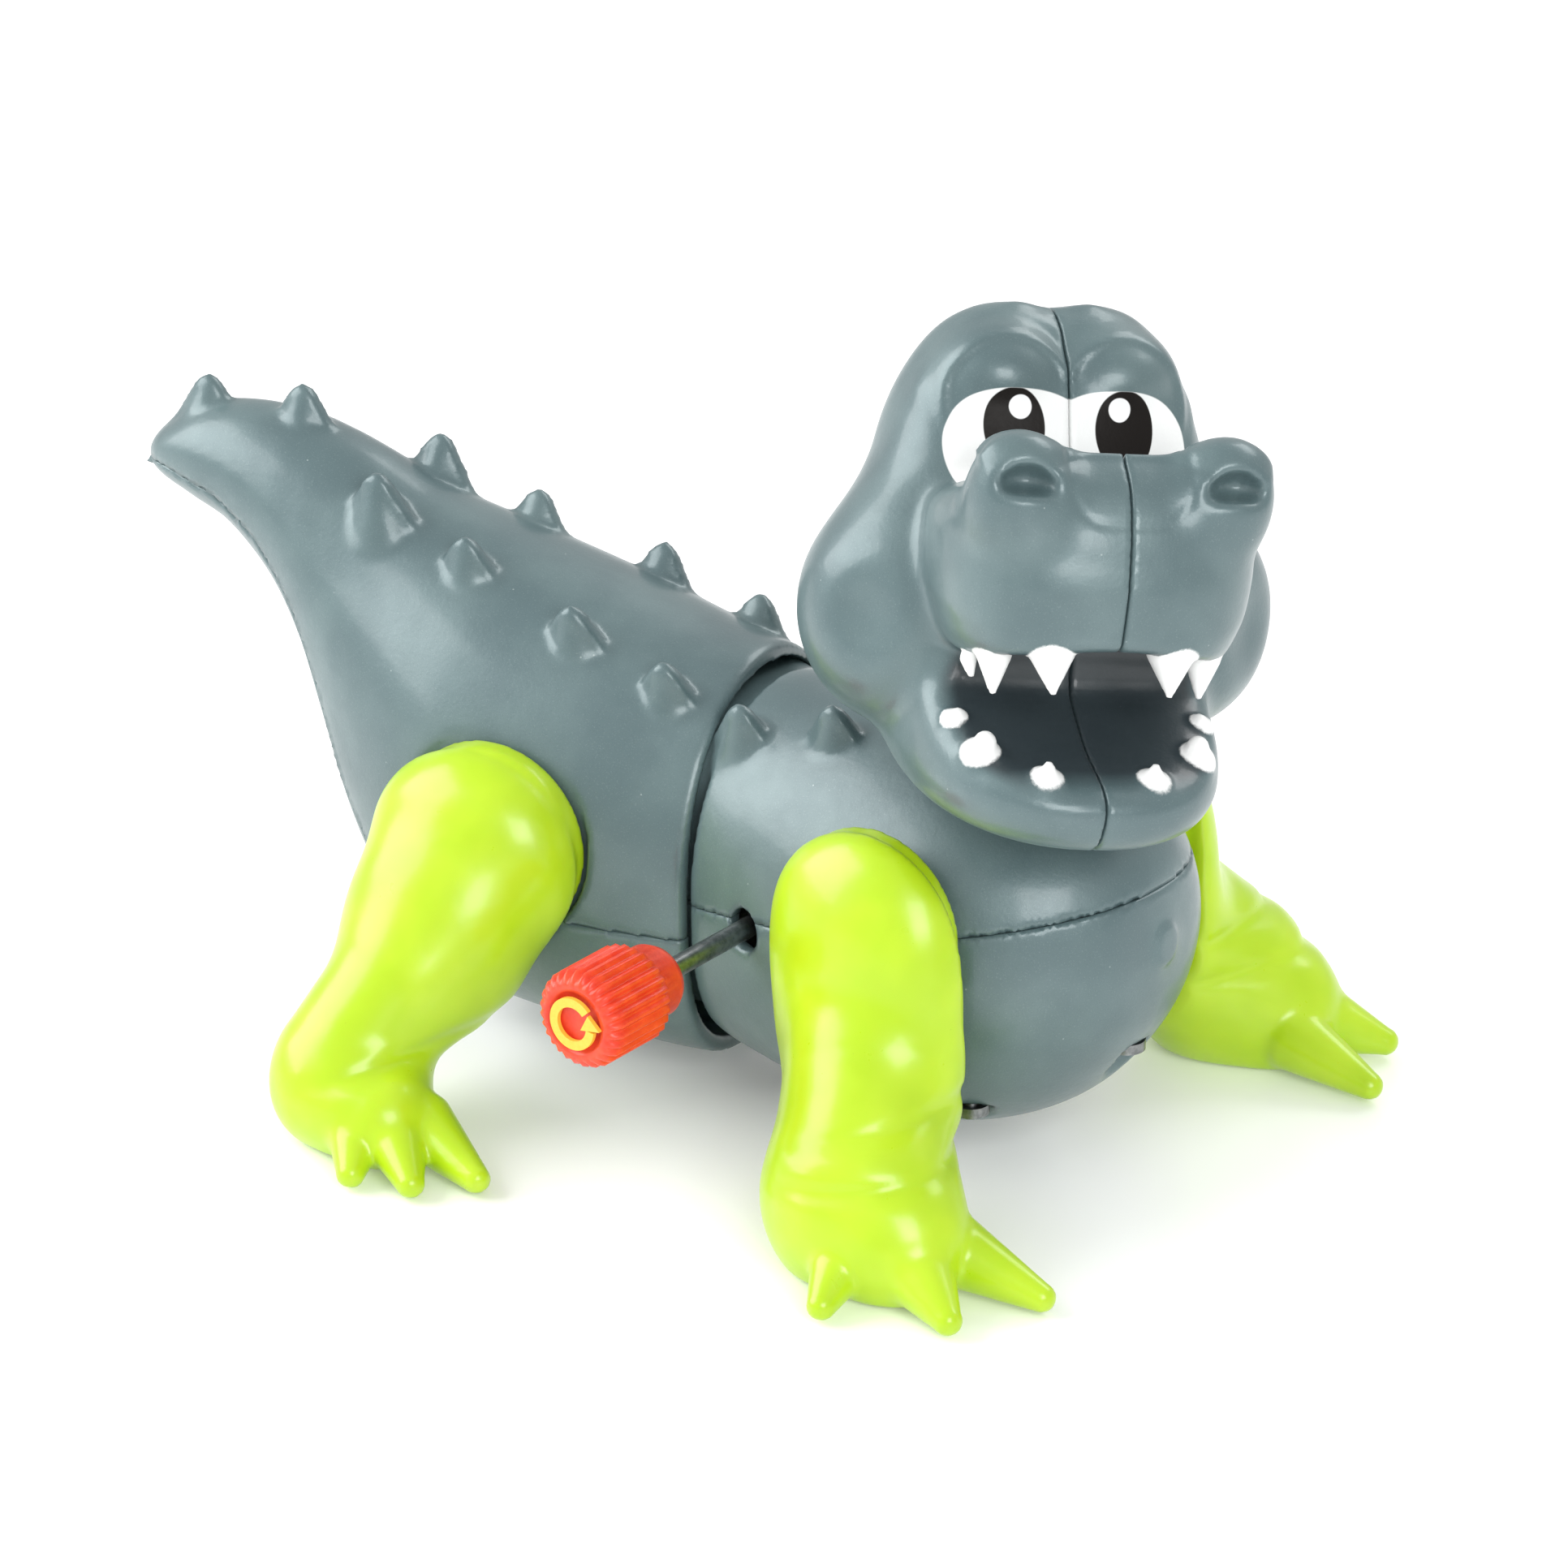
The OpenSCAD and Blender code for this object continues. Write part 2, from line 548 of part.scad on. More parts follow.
module rear_hollow() difference() {
  union() {
    difference() {
      rear_solid(0);
      rear_solid(wall);
    }
    intersection() {
      rear_solid(0.4);
      pocket_floor(hip_at, hip_r + gap + wall);
    }
    intersection() {
      rear_solid(0.4);
      rear_bosses();
    }
  }
  for (side = [-1, 1]) translate([hip_x, side * (leg_face_y + 10), hip_z]) rotate([90, 0, 0])
    cylinder(r = hip_r + gap, h = 20, center = true, $fn = 44);
  for (side = [-1, 1]) translate([hip_x, side * leg_face_y, hip_z]) rotate([90, 0, 0])
    cylinder(r = peg_r + clear + 0.02, h = 12, center = true, $fn = 48);
  for (p = rear_screw_at) translate([p[0], p[1], 0]) {
    cylinder(r = 1.9, h = 6, $fn = 28);
    cylinder(r = 0.85, h = 28, $fn = 24);
  }
}

module rear_bosses() {
  for (p = rear_screw_at) translate([p[0], p[1], 0]) cylinder(r = 2.6, h = 50, $fn = 20);
  difference() {
    translate([pivot_x, 0, 0]) cylinder(r = 2.8, h = 60, $fn = 32);
    translate([pivot_x, 0, 5.4]) cylinder(r = 6, h = 31, $fn = 32);
    translate([pivot_x, 0, pin_z]) cylinder(r = pin_r, h = pin_len, $fn = 40);
  }
}

// Everything below the seam of the rear shells
module below_rear_seam() rotate([90, 0, 0]) linear_extrude(60, center = true) polygon(rear_seam);

module rear_shell_upper() color(body_grey) rear() {
  difference() {
    rear_hollow();
    below_rear_seam();
  }
  difference() {
    union() {
      for (s = rear_spikes, side = [-1, 1]) spike(s[0], side * s[1], s[2]);
      for (s = tail_spikes) spike(s[0], 0, s[1]);
    }
    rear_solid(wall / 2);
  }
}

module rear_shell_lower() color(body_grey) rear() intersection() {
  rear_hollow();
  below_rear_seam();
}

module rear_screws() color(steel_grey) rear()
  for (p = rear_screw_at) translate([p[0], p[1], 6]) screw(16, 0.8, 1.6, screw_head_t);

module waist_pin() color(steel_grey) rear() translate([pivot_x, 0, pin_z]) cylinder(r = pin_r, h = pin_len, $fn = 40);

// ---- Head, drawn facing forward; x is measured from the neck line ----

head_x = 30.3;

module blob(p, r) translate([head_x + p[0], p[1], p[2]]) scale([r[0], r[1], r[2]]) sphere(1, $fn = head_sphere_fn);

// Cranium with two brow lobes, full cheeks and a broad upturned muzzle
module head_upper(w) {
  hull() {
    for (side = [-1, 1]) blob([-4.8, side * 4.8, 66.4], [7.6 - w, 6 - w, 8.4 - w]);
    for (side = [-1, 1]) blob([-4, side * 5.4, 57.5], [9.6 - w, 9.6 - w, 8 - w]);
  }
  hull() {
    for (side = [-1, 1]) blob([-1, side * 11.2, 50], [9.4 - w, 8.9 - w, 9.6 - w]);
    blob([-3.6, 0, 57.5], [9 - w, 13 - w, 8 - w]);
  }
  hull() {
    for (side = [-1, 1]) blob([12.8, side * 4.6, 60.2], [9.8 - w, 8.4 - w, 8.4 - w]);
    blob([2, 0, 57.5], [8 - w, 11 - w, 8.6 - w]);
  }
}

module nostrils() for (side = [-1, 1]) hull() {
  blob([17.6, side * 8.2, 66.9], [3.4, 3.2, 3.4]);
  blob([12, side * 6.5, 63.5], [3, 3, 3]);
}

module head_lower(w) hull() {
  blob([-2, 0, 43.5], [8.6 - w, 13 - w, 7 - w]);
  blob([14.2, 0, 41.6], [10.4 - w, 12.9 - w, 5 - w]);
}

module mouth() {
  hull() {
    blob([20, 0, 48.6], [9.8, 10.6, 5.8]);
    blob([14.4, 0, 50], [4.4, 9.6, 4.4]);
  }
  hull() for (side = [-1, 1]) blob([20, side * 12, 49], [9, 6, 4.6]);
}

// Teeth: [x, y, gum height, tip height, radius]
teeth = [
  [20.4, 4.9, 54.8, 50.1, 1.8], [17.2, 8.8, 54.4, 49.4, 1.4],
  [21.4, 4.5, 42.4, 44.7, 1.6], [18.2, 9, 42.8, 45.3, 1.6]
];

module head_teeth() for (t = teeth, side = [-1, 1]) hull() {
  blob([t[0], side * t[1], t[2]], [t[4], t[4], 1]);
  blob([t[0], side * t[1], t[3]], [0.5, 0.5, 0.5]);
}

module eye_balls() for (side = [-1, 1]) blob([-1.8, side * 4.9, 66], [4.6, 5.4, 6]);

// Neck socket: a bore for the post, a chamber for the washer and screw above it, a flat face below
module neck_socket() translate(neck_base) rotate([0, neck_lean, 0]) {
  translate([0, 0, 0]) cylinder(r = 3 + clear + 0.02, h = 12, $fn = 48);
  translate([0, 0, 8.5 - 0.1]) cylinder(r = 4.6, h = 4, $fn = 48);
  translate([0, 0, -20]) cylinder(r = 40, h = 24.2, $fn = 44);
}

module head_solid() {
  difference() {
    union() {
      difference() {
        union() {
          head_upper(0);
          head_lower(0);
          nostrils();
        }
        mouth();
        head_upper_cavity();
      }
      neck_boss();
    }
    neck_socket();
  }
  head_teeth();
  eye_balls();
}

// Hollow of the cranium, cheeks and muzzle, closed off above the mouth
module head_upper_cavity() difference() {
  head_upper(head_wall);
  translate([head_x + 1, -30, 30]) cube([40, 60, 26]);
  translate([head_x - 30, -30, 30]) cube([60, 60, 17]);
}

module neck_boss() intersection() {
  translate(neck_base) rotate([0, neck_lean, 0]) translate([0, 0, 4.2]) cylinder(r = 7, h = 9, $fn = 40);
  union() {
    head_upper(0);
    head_lower(0);
  }
}

module head_shell_right() color(body_grey) head() difference() {
  head_solid();
  translate([-40, 0, 0]) cube([160, 60, 120]);
}

module head_shell_left() color(body_grey) head() intersection() {
  head_solid();
  translate([-40, 0, 0]) cube([160, 60, 120]);
}

front_shell_upper();
front_shell_lower();
belly_screws();
neck_post();
neck_washer();
neck_screw();
motor_case_right();
motor_case_left();
motor_rivets();
mainspring();
winding_shaft();
winding_knob();
knob_mark();
great_wheel();
centre_arbor();
centre_gear();
output_shaft();
output_pinion();
crank_right();
crank_left();
escape_arbor();
escape_wheel();
pallet_arbor();
pallet();
front_leg_right();
shoulder_washer_right();
shoulder_screw_right();
front_leg_left();
shoulder_washer_left();
shoulder_screw_left();
rear_shell_upper();
rear_shell_lower();
rear_screws();
waist_pin();
rear_leg_right();
hip_washer_right();
hip_screw_right();
rear_leg_left();
hip_washer_left();
hip_screw_left();
head_shell_right();
head_shell_left();
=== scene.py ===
"""Looks of the wind-up crocodile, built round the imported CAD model.

Each moulded plastic piece is a distance field in its own frame, in millimetres, turned into a mesh.
"""
import json
import math

import bpy
import numpy as np
import openvdb
from mathutils import Matrix, Vector


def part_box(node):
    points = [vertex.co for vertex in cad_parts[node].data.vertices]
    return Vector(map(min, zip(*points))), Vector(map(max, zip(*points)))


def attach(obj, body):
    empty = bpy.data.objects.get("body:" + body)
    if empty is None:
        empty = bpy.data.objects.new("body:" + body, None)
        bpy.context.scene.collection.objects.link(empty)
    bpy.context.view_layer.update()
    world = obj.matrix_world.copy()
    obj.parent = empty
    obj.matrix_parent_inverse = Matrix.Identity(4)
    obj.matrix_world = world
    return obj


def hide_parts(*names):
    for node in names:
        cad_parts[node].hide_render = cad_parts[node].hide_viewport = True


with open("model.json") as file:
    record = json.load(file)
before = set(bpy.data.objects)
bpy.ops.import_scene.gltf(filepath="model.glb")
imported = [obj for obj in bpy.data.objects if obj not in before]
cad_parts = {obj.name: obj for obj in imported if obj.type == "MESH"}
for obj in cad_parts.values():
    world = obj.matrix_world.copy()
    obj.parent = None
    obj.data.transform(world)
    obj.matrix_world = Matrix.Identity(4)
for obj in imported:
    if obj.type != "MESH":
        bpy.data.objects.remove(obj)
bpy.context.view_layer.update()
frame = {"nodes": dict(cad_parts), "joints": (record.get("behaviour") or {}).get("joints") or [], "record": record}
MM = 0.001

# ---- Frames of the moving halves and of the head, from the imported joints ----

PIVOT_X = -5          # waist pivot, from the zero of the body sections
TAIL_BEND = 9         # degrees at rest
HEAD_TURN = 39        # degrees at rest, to the toy's right
HEAD_X = 30.3         # zero of the head's shapes, from the zero of the body sections
joints = {j["name"]: j for j in frame["joints"]}
waist_at = Vector(joints["waist_swing"]["pos_m"])
neck_at = Vector(joints["head_turn"]["pos_m"])
neck_axis = Vector(joints["head_turn"]["axis"])
FRONT = Matrix.Translation((waist_at.x - PIVOT_X * MM, waist_at.y, 0))
REAR = (Matrix.Translation((waist_at.x, waist_at.y, 0)) @ Matrix.Rotation(math.radians(TAIL_BEND), 4, "Z")
        @ Matrix.Translation((-PIVOT_X * MM, 0, 0)))
HEAD = (Matrix.Translation(neck_at) @ Matrix.Rotation(-math.radians(HEAD_TURN), 4, neck_axis)
        @ Matrix.Translation(-neck_at) @ FRONT @ Matrix.Translation((HEAD_X * MM, 0, 0)))
MIRROR = np.array([1, -1, 1])

# ---- Distance fields ----


def grid(low, high, step):
    """Open grid of points between two corners."""
    return np.ix_(*(np.arange(low[k], high[k] + step, step, dtype=np.float32) for k in range(3)))


def join(a, b, soft):
    h = np.maximum(soft - np.abs(a - b), 0) / soft
    return np.minimum(a, b) - h * h * soft / 4


def cut(a, b, soft):
    return -join(-a, b, soft)


def common(a, b, soft):
    return -join(-a, -b, soft)


def ellipsoid(p, centre, radii):
    q = [(p[k] - centre[k]) / radii[k] for k in range(3)]
    near = np.maximum(np.sqrt(q[0] ** 2 + q[1] ** 2 + q[2] ** 2), 1e-3)
    slope = np.sqrt((q[0] / radii[0]) ** 2 + (q[1] / radii[1]) ** 2 + (q[2] / radii[2]) ** 2)
    return near * (near - 1) / np.maximum(slope, 1e-4)


def stick(p, a, b, ra, rb):
    """Tapered rod with round ends."""
    a, d = np.array(a, float), np.array(b, float) - np.array(a, float)
    t = np.clip(sum((p[k] - a[k]) * d[k] for k in range(3)) / (d @ d), 0, 1)
    return np.sqrt(sum((p[k] - a[k] - t * d[k]) ** 2 for k in range(3))) - (ra + t * (rb - ra))


def rod_z(p, at, radius):
    return np.hypot(p[0] - at[0], p[1] - at[1]) - radius


def rod_y(p, at, radius):
    return np.hypot(p[0] - at[0], p[2] - at[1]) - radius


def bump(value, width):
    return np.exp(-(value / width) ** 2)


def smooth_rows(rows, steps=12):
    """Rows of sections, made denser with a curve through them."""
    s = np.array(sorted(rows), float)
    padded = np.vstack([s[0], s, s[-1]])
    dense = []
    for i in range(len(s) - 1):
        a, b, c, d = padded[i:i + 4]
        for t in np.arange(steps) / steps:
            dense.append(b + (c - a) * t / 2 + (2 * a - 5 * b + 4 * c - d) * t ** 2 / 2
                         + (3 * b - a - 3 * c + d) * t ** 3 / 2)
    return np.array(dense + [s[-1]])


def levelled(value, step):
    """A field made close to a true distance."""
    slope = np.sqrt(sum(g ** 2 for g in np.gradient(value, step)))
    return value / np.clip(slope, 0.25, 4)


def loft(p, rows, step, back_round):
    """Body of sections along X: [x, half width, bottom, top, squareness]."""
    dense = smooth_rows(rows)
    columns = [np.interp(p[0], dense[:, 0], dense[:, k]).astype(np.float32) for k in range(1, 5)]
    half, low, high, power = columns
    middle, tall = (low + high) / 2, (high - low) / 2
    power = np.where(p[2] > middle, np.minimum(power, back_round), power)
    ring = (np.abs(p[1] / half) ** power + np.abs((p[2] - middle) / tall) ** power) ** (1 / power)
    return levelled((ring - 1) * np.minimum(half, tall), step)


def tower(p, rows, step):
    """Shape of sections along Z: [z, back, front, half width, squareness]."""
    dense = smooth_rows(rows)
    columns = [np.interp(p[2], dense[:, 0], dense[:, k]).astype(np.float32) for k in range(1, 5)]
    back, front, half, power = columns
    middle, deep = (back + front) / 2, (front - back) / 2
    ring = (np.abs((p[0] - middle) / deep) ** power + np.abs(p[1] / half) ** power) ** (1 / power)
    return levelled((ring - 1) * np.minimum(half, deep), step)


def spike(p, x, y, tip, height=5.6):
    """Rounded thorn with a ridge fore and aft and a lens-shaped foot."""
    lean = math.radians(y * 2.2)
    up, out = p[2] - (tip - height), np.abs(p[1]) - y if y else p[1]
    q = (p[0] - x, out * math.cos(lean) - up * math.sin(lean), up * math.cos(lean) + out * math.sin(lean))
    cone = (np.hypot(q[0], q[1] * 1.12) - 3.6 + (np.maximum(q[2], -1) + 0.6) * 0.56) / 1.15
    thorn = common(cone, q[2] - height, 2.2)
    ridge = np.maximum(np.abs(q[1]) - 0.55, (np.abs(q[0]) - 4.3 + (q[2] + 0.6) * 0.66) / 1.2)
    ridge = common(ridge, q[2] - height + 0.5, 1.2)
    return common(join(thorn, ridge, 0.8), -4.5 - q[2], 0.4)


# ---- Meshes from fields ----

BAND = 2.0            # the fields are kept within this distance of the surface
NUDGE = 0.01          # for the slope of a seam's value
SNAP_REACH = 0.3      # points this near to a seam's edge are moved on to it
SEAM_GAP = 0.05       # each shell stops this far from its seam


def snapped(points, seam_side, above):
    """Points near a seam, moved on to it, so that its edge is a clean line."""
    value = seam_side(points[:, 0], points[:, 2])
    nudged = [points + np.eye(3)[k] * NUDGE for k in range(3)]
    slope = np.stack([seam_side(q[:, 0], q[:, 2]) - value for q in nudged], 1) / NUDGE
    level = SEAM_GAP if above else -SEAM_GAP
    near = np.abs(value - level) < SNAP_REACH
    return np.where(near[:, None], points + slope * (level - value)[:, None], points)


def piece_from(name, field, low, step, placing, body, nodes, material, flip=False, seam=None):
    """Mesh of the field's zero surface, placed in its frame and riding on a CAD body.

    A seam is its function of X and Z, and True for the shell above it.
    """
    volume = openvdb.FloatGrid(BAND)
    volume.copyFromArray(np.clip(field, -BAND, BAND).astype(np.float32))
    points, quads = volume.convertToQuads(isovalue=0.0)
    points = points * step + np.array(low)
    if seam:
        points = snapped(points, *seam)
    if flip:
        points, quads = points * MIRROR, quads[:, ::-1]
    mesh = bpy.data.meshes.new(name)
    mesh.from_pydata((points * MM).tolist(), [], quads[:, ::-1].tolist())
    mesh.polygons.foreach_set("use_smooth", np.ones(len(mesh.polygons), bool))
    mesh.materials.append(material)
    piece = bpy.data.objects.new(name, mesh)
    bpy.context.scene.collection.objects.link(piece)
    piece.matrix_world = placing
    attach(piece, body)
    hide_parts(*nodes)
    return piece, points


# ---- Materials ----


class Paint:
    """Short way to write a node material."""

    def __init__(self, name):
        self.material = bpy.data.materials.new(name)
        self.material.use_nodes = True
        self.nodes = self.material.node_tree.nodes
        self.links = self.material.node_tree.links
        self.shader = self.nodes["Principled BSDF"]
        where = self.nodes.new("ShaderNodeTexCoord")
        self.mm = self.vector("SCALE", where.outputs["Object"], scale=1 / MM)
        split = self.nodes.new("ShaderNodeSeparateXYZ")
        self.links.new(self.mm, split.inputs[0])
        self.x, self.y, self.z = split.outputs

    def put(self, socket, value):
        if isinstance(value, bpy.types.NodeSocket):
            self.links.new(value, socket)
        else:
            socket.default_value = value

    def vector(self, operation, a, scale=1.0):
        node = self.nodes.new("ShaderNodeVectorMath")
        node.operation = operation
        self.put(node.inputs[0], a)
        node.inputs["Scale"].default_value = scale
        return node.outputs[0]

    def math(self, operation, a, b=0.0, c=0.0):
        node = self.nodes.new("ShaderNodeMath")
        node.operation = operation
        for socket, value in zip(node.inputs, (a, b, c)):
            self.put(socket, value)
        return node.outputs[0]

    def step(self, value, low, high):
        """0 below low and 1 above high, smooth between them."""
        node = self.nodes.new("ShaderNodeMapRange")
        node.interpolation_type = "SMOOTHSTEP"
        self.put(node.inputs["Value"], value)
        node.inputs["From Min"].default_value = low
        node.inputs["From Max"].default_value = high
        return node.outputs["Result"]

    def mix(self, factor, a, b):
        node = self.nodes.new("ShaderNodeMix")
        node.data_type = "RGBA"
        self.put(node.inputs["Factor"], factor)
        self.put(node.inputs["A"], a)
        self.put(node.inputs["B"], b)
        return node.outputs["Result"]

    def noise(self, scale, detail=3.0, rough=0.5):
        node = self.nodes.new("ShaderNodeTexNoise")
        self.put(node.inputs["Vector"], self.mm)
        node.inputs["Scale"].default_value = scale
        node.inputs["Detail"].default_value = detail
        node.inputs["Roughness"].default_value = rough
        return node.outputs["Fac"]

    def specks(self, scale, size):
        """Sparse small dots: 1 in a dot and 0 outside."""
        node = self.nodes.new("ShaderNodeTexVoronoi")
        self.put(node.inputs["Vector"], self.mm)
        node.inputs["Scale"].default_value = scale
        return self.step(node.outputs["Distance"], size, size * 0.4)

    def attribute(self, name):
        node = self.nodes.new("ShaderNodeAttribute")
        node.attribute_name = name
        return node.outputs["Fac"]

    def relief(self, height, distance, strength=1.0):
        node = self.nodes.new("ShaderNodeBump")
        node.inputs["Strength"].default_value = strength
        node.inputs["Distance"].default_value = distance * MM
        self.put(node.inputs["Height"], height)
        self.links.new(node.outputs["Normal"], self.shader.inputs["Normal"])

    def set(self, **values):
        for name, value in values.items():
            self.put(self.shader.inputs[name.replace("_", " ")], value)


GREY = (0.092, 0.143, 0.152, 1)
GREY_PALE = (0.118, 0.176, 0.183, 1)
GREY_DEEP = (0.060, 0.096, 0.105, 1)
WHITE = (0.86, 0.87, 0.86, 1)


def grey_colour(paint):
    """Pearly grey: slow clouds from the flow of the melt, and a fine flake."""
    clouds = paint.step(paint.noise(0.11, 3, 0.55), 0.35, 0.68)
    colour = paint.mix(clouds, GREY, GREY_PALE)
    flake = paint.step(paint.noise(7.0, 1, 0.6), 0.60, 0.72)
    colour = paint.mix(paint.math("MULTIPLY", flake, 0.22), colour, (0.22, 0.29, 0.29, 1))
    dark_flake = paint.step(paint.noise(9.0, 1, 0.6), 0.40, 0.30)
    colour = paint.mix(paint.math("MULTIPLY", dark_flake, 0.25), colour, GREY_DEEP)
    dust = paint.specks(0.32, 0.035)
    return paint.mix(paint.math("MULTIPLY", dust, 0.55), colour, (0.36, 0.42, 0.41, 1))


def grey_rough(paint):
    return paint.math("MULTIPLY_ADD", paint.noise(0.6, 4, 0.6), 0.16, 0.31)


def grey_plastic():
    paint = Paint("pearl_grey_plastic")
    paint.set(Base_Color=grey_colour(paint), Roughness=grey_rough(paint), Metallic=0.18)
    paint.set(Coat_Weight=0.3, Coat_Roughness=0.16)
    paint.relief(paint.noise(2.2, 3, 0.6), 0.02)
    return paint.material


# Eyes, seen from the front, in millimetres
EYE_Y, EYE_Z = 4.7, 64.6
EYE_OUT, EYE_IN, EYE_TALL = 5.7, 8.0, 5.0
PUPIL_Z, PUPIL_R, PUPIL_TALL = 66.5, 2.55, 1.24
GLINT_Y, GLINT_Z, GLINT_R = 4.25, 68.1, 0.95
PAINT_EDGE = 0.05


def face_plastic():
    """The head's grey, with painted eyes and teeth, and a darkened mouth: dark paint with painted shade inside it,
    and painted shade in the mouth-corner crease.
    """
    paint = Paint("painted_grey_plastic")
    side = paint.math("ABSOLUTE", paint.y)
    across = paint.math("SUBTRACT", side, EYE_Y)
    outer = paint.math("DIVIDE", paint.math("MAXIMUM", across, 0.0), EYE_OUT)
    inner = paint.math("DIVIDE", paint.math("MINIMUM", across, 0.0), EYE_IN)
    wide = paint.math("ADD", outer, inner)
    tall = paint.math("DIVIDE", paint.math("SUBTRACT", paint.z, EYE_Z), EYE_TALL)
    ring = paint.math("SQRT", paint.math("ADD", paint.math("POWER", wide, 2.0),
                                         paint.math("POWER", tall, 2.0)))
    front = paint.step(paint.x, -2.6, -2.4)
    facing = paint.math("MULTIPLY", front, paint.step(paint.x, 5.5, 5.2))
    white_eye = paint.math("MULTIPLY", facing, paint.step(ring, 1.012, 0.988))
    tall_pupil = paint.math("DIVIDE", paint.math("SUBTRACT", paint.z, PUPIL_Z), PUPIL_TALL)
    pupil = paint.math("SQRT", paint.math("ADD", paint.math("POWER", across, 2.0),
                                          paint.math("POWER", tall_pupil, 2.0)))
    black = paint.math("MULTIPLY", white_eye, paint.step(pupil, PUPIL_R + PAINT_EDGE, PUPIL_R - PAINT_EDGE))
    off_y = paint.math("SUBTRACT", side, GLINT_Y)
    off_z = paint.math("SUBTRACT", paint.z, GLINT_Z)
    glint = paint.math("SQRT", paint.math("ADD", paint.math("POWER", off_y, 2.0),
                                          paint.math("POWER", off_z, 2.0)))
    glint = paint.math("MULTIPLY", black, paint.step(glint, GLINT_R + PAINT_EDGE, GLINT_R - PAINT_EDGE))
    # Overspray: the tooth paint's edge breaks up in a fine noise
    spray = paint.math("MULTIPLY_ADD", paint.noise(2.4, 4, 0.75), 0.5, -0.25)
    tooth = paint.step(paint.math("ADD", paint.attribute("tooth"), spray), 0.30, 0.72)
    # Painted shade: the mouth mark darkens the mouth-corner crease, and the inside of the mouth, where the
    # near-black is partly dark paint and partly painted shade.
    mouth = paint.math("MULTIPLY", paint.attribute("mouth"), 0.86)
    colour = paint.mix(mouth, grey_colour(paint), (0.020, 0.026, 0.032, 1))
    colour = paint.mix(tooth, colour, WHITE)
    colour = paint.mix(white_eye, colour, WHITE)
    colour = paint.mix(black, colour, (0.010, 0.008, 0.007, 1))
    colour = paint.mix(glint, colour, (0.92, 0.92, 0.92, 1))
    painted = paint.math("MAXIMUM", white_eye, tooth)
    smooth = paint.math("MULTIPLY", black, -0.05)
    rough = paint.math("ADD", paint.math("MULTIPLY_ADD", painted, 0.06, grey_rough(paint)), smooth)
    metal = paint.math("MULTIPLY", paint.math("SUBTRACT", 1.0, paint.math("MAXIMUM", painted, mouth)), 0.18)
    paint.set(Base_Color=colour, Roughness=rough, Metallic=metal, Coat_Roughness=0.14)
    paint.set(Coat_Weight=paint.math("MULTIPLY_ADD", black, -0.3, 0.3))
    paint.set(Specular_IOR_Level=paint.math("MULTIPLY_ADD", black, -0.38, 0.5))
    paint.relief(paint.noise(2.2, 3, 0.6), 0.02)
    return paint.material


def green_plastic():
    paint = Paint("lime_green_plastic")
    clouds = paint.step(paint.noise(0.14, 2, 0.5), 0.35, 0.7)
    colour = paint.mix(clouds, (0.41, 0.62, 0.008, 1), (0.47, 0.68, 0.018, 1))
    colour = paint.mix(paint.math("MULTIPLY", paint.specks(0.4, 0.03), 0.4), colour, (0.30, 0.42, 0.02, 1))
    paint.set(Base_Color=colour, Roughness=paint.math("MULTIPLY_ADD", paint.noise(0.5, 3, 0.6), 0.12, 0.24))
    paint.set(Coat_Weight=0.15, Coat_Roughness=0.14, Subsurface_Weight=0.12, Subsurface_Scale=1.2 * MM)
    paint.relief(paint.noise(0.28, 2, 0.5), 0.06)
    return paint.material


def red_plastic():
    paint = Paint("red_plastic")
    clouds = paint.step(paint.noise(0.6, 3, 0.6), 0.35, 0.7)
    colour = paint.mix(clouds, (0.72, 0.040, 0.012, 1), (0.83, 0.070, 0.022, 1))
    colour = paint.mix(paint.math("MULTIPLY", paint.specks(0.8, 0.05), 0.5), colour, (0.85, 0.35, 0.25, 1))
    paint.set(Base_Color=colour, Roughness=paint.math("MULTIPLY_ADD", paint.noise(1.5, 3, 0.6), 0.18, 0.26))
    paint.relief(paint.noise(3.0, 3, 0.6), 0.02)
    return paint.material


def yellow_paint():
    paint = Paint("yellow_print")
    colour = paint.mix(paint.noise(3.0, 3, 0.6), (0.86, 0.46, 0.03, 1), (0.90, 0.60, 0.08, 1))
    paint.set(Base_Color=colour, Roughness=paint.math("MULTIPLY_ADD", paint.noise(4.0), 0.2, 0.3))
    return paint.material


def metal(name, dark, bright, rough):
    paint = Paint(name)
    colour = paint.mix(paint.step(paint.noise(1.1, 4, 0.65), 0.3, 0.7), dark, bright)
    paint.set(Base_Color=colour, Metallic=1.0)
    paint.set(Roughness=paint.math("MULTIPLY_ADD", paint.noise(5.0, 3, 0.6), 0.18, rough))
    paint.relief(paint.noise(9.0, 2, 0.6), 0.006)
    return paint.material


def case_plastic():
    paint = Paint("off_white_plastic")
    colour = paint.mix(paint.noise(0.5, 3, 0.5), (0.70, 0.70, 0.64, 1), (0.80, 0.79, 0.74, 1))
    paint.set(Base_Color=colour, Roughness=paint.math("MULTIPLY_ADD", paint.noise(2.0), 0.15, 0.4))
    paint.relief(paint.noise(2.5, 3, 0.6), 0.02)
    return paint.material


SLOT_MATERIALS = {
    "grey_shell": grey_plastic(),
    "green_leg": green_plastic(),
    "red_knob": red_plastic(),
    "yellow_mark": yellow_paint(),
    "steel": metal("drawn_steel", (0.16, 0.17, 0.17, 1), (0.32, 0.33, 0.33, 1), 0.28),
    "brass_gear": metal("stamped_brass", (0.55, 0.36, 0.10, 1), (0.80, 0.58, 0.22, 1), 0.28),
    "case_plastic": case_plastic(),
}
FACE = face_plastic()
GREY_SHELL, GREEN_LEG = SLOT_MATERIALS["grey_shell"], SLOT_MATERIALS["green_leg"]

for part in frame["record"]["subparts"]:
    node = frame["nodes"][part["node"]]
    node.data.materials.clear()
    node.data.materials.append(SLOT_MATERIALS[part["material_slot"]])

# ---- Body shells ----

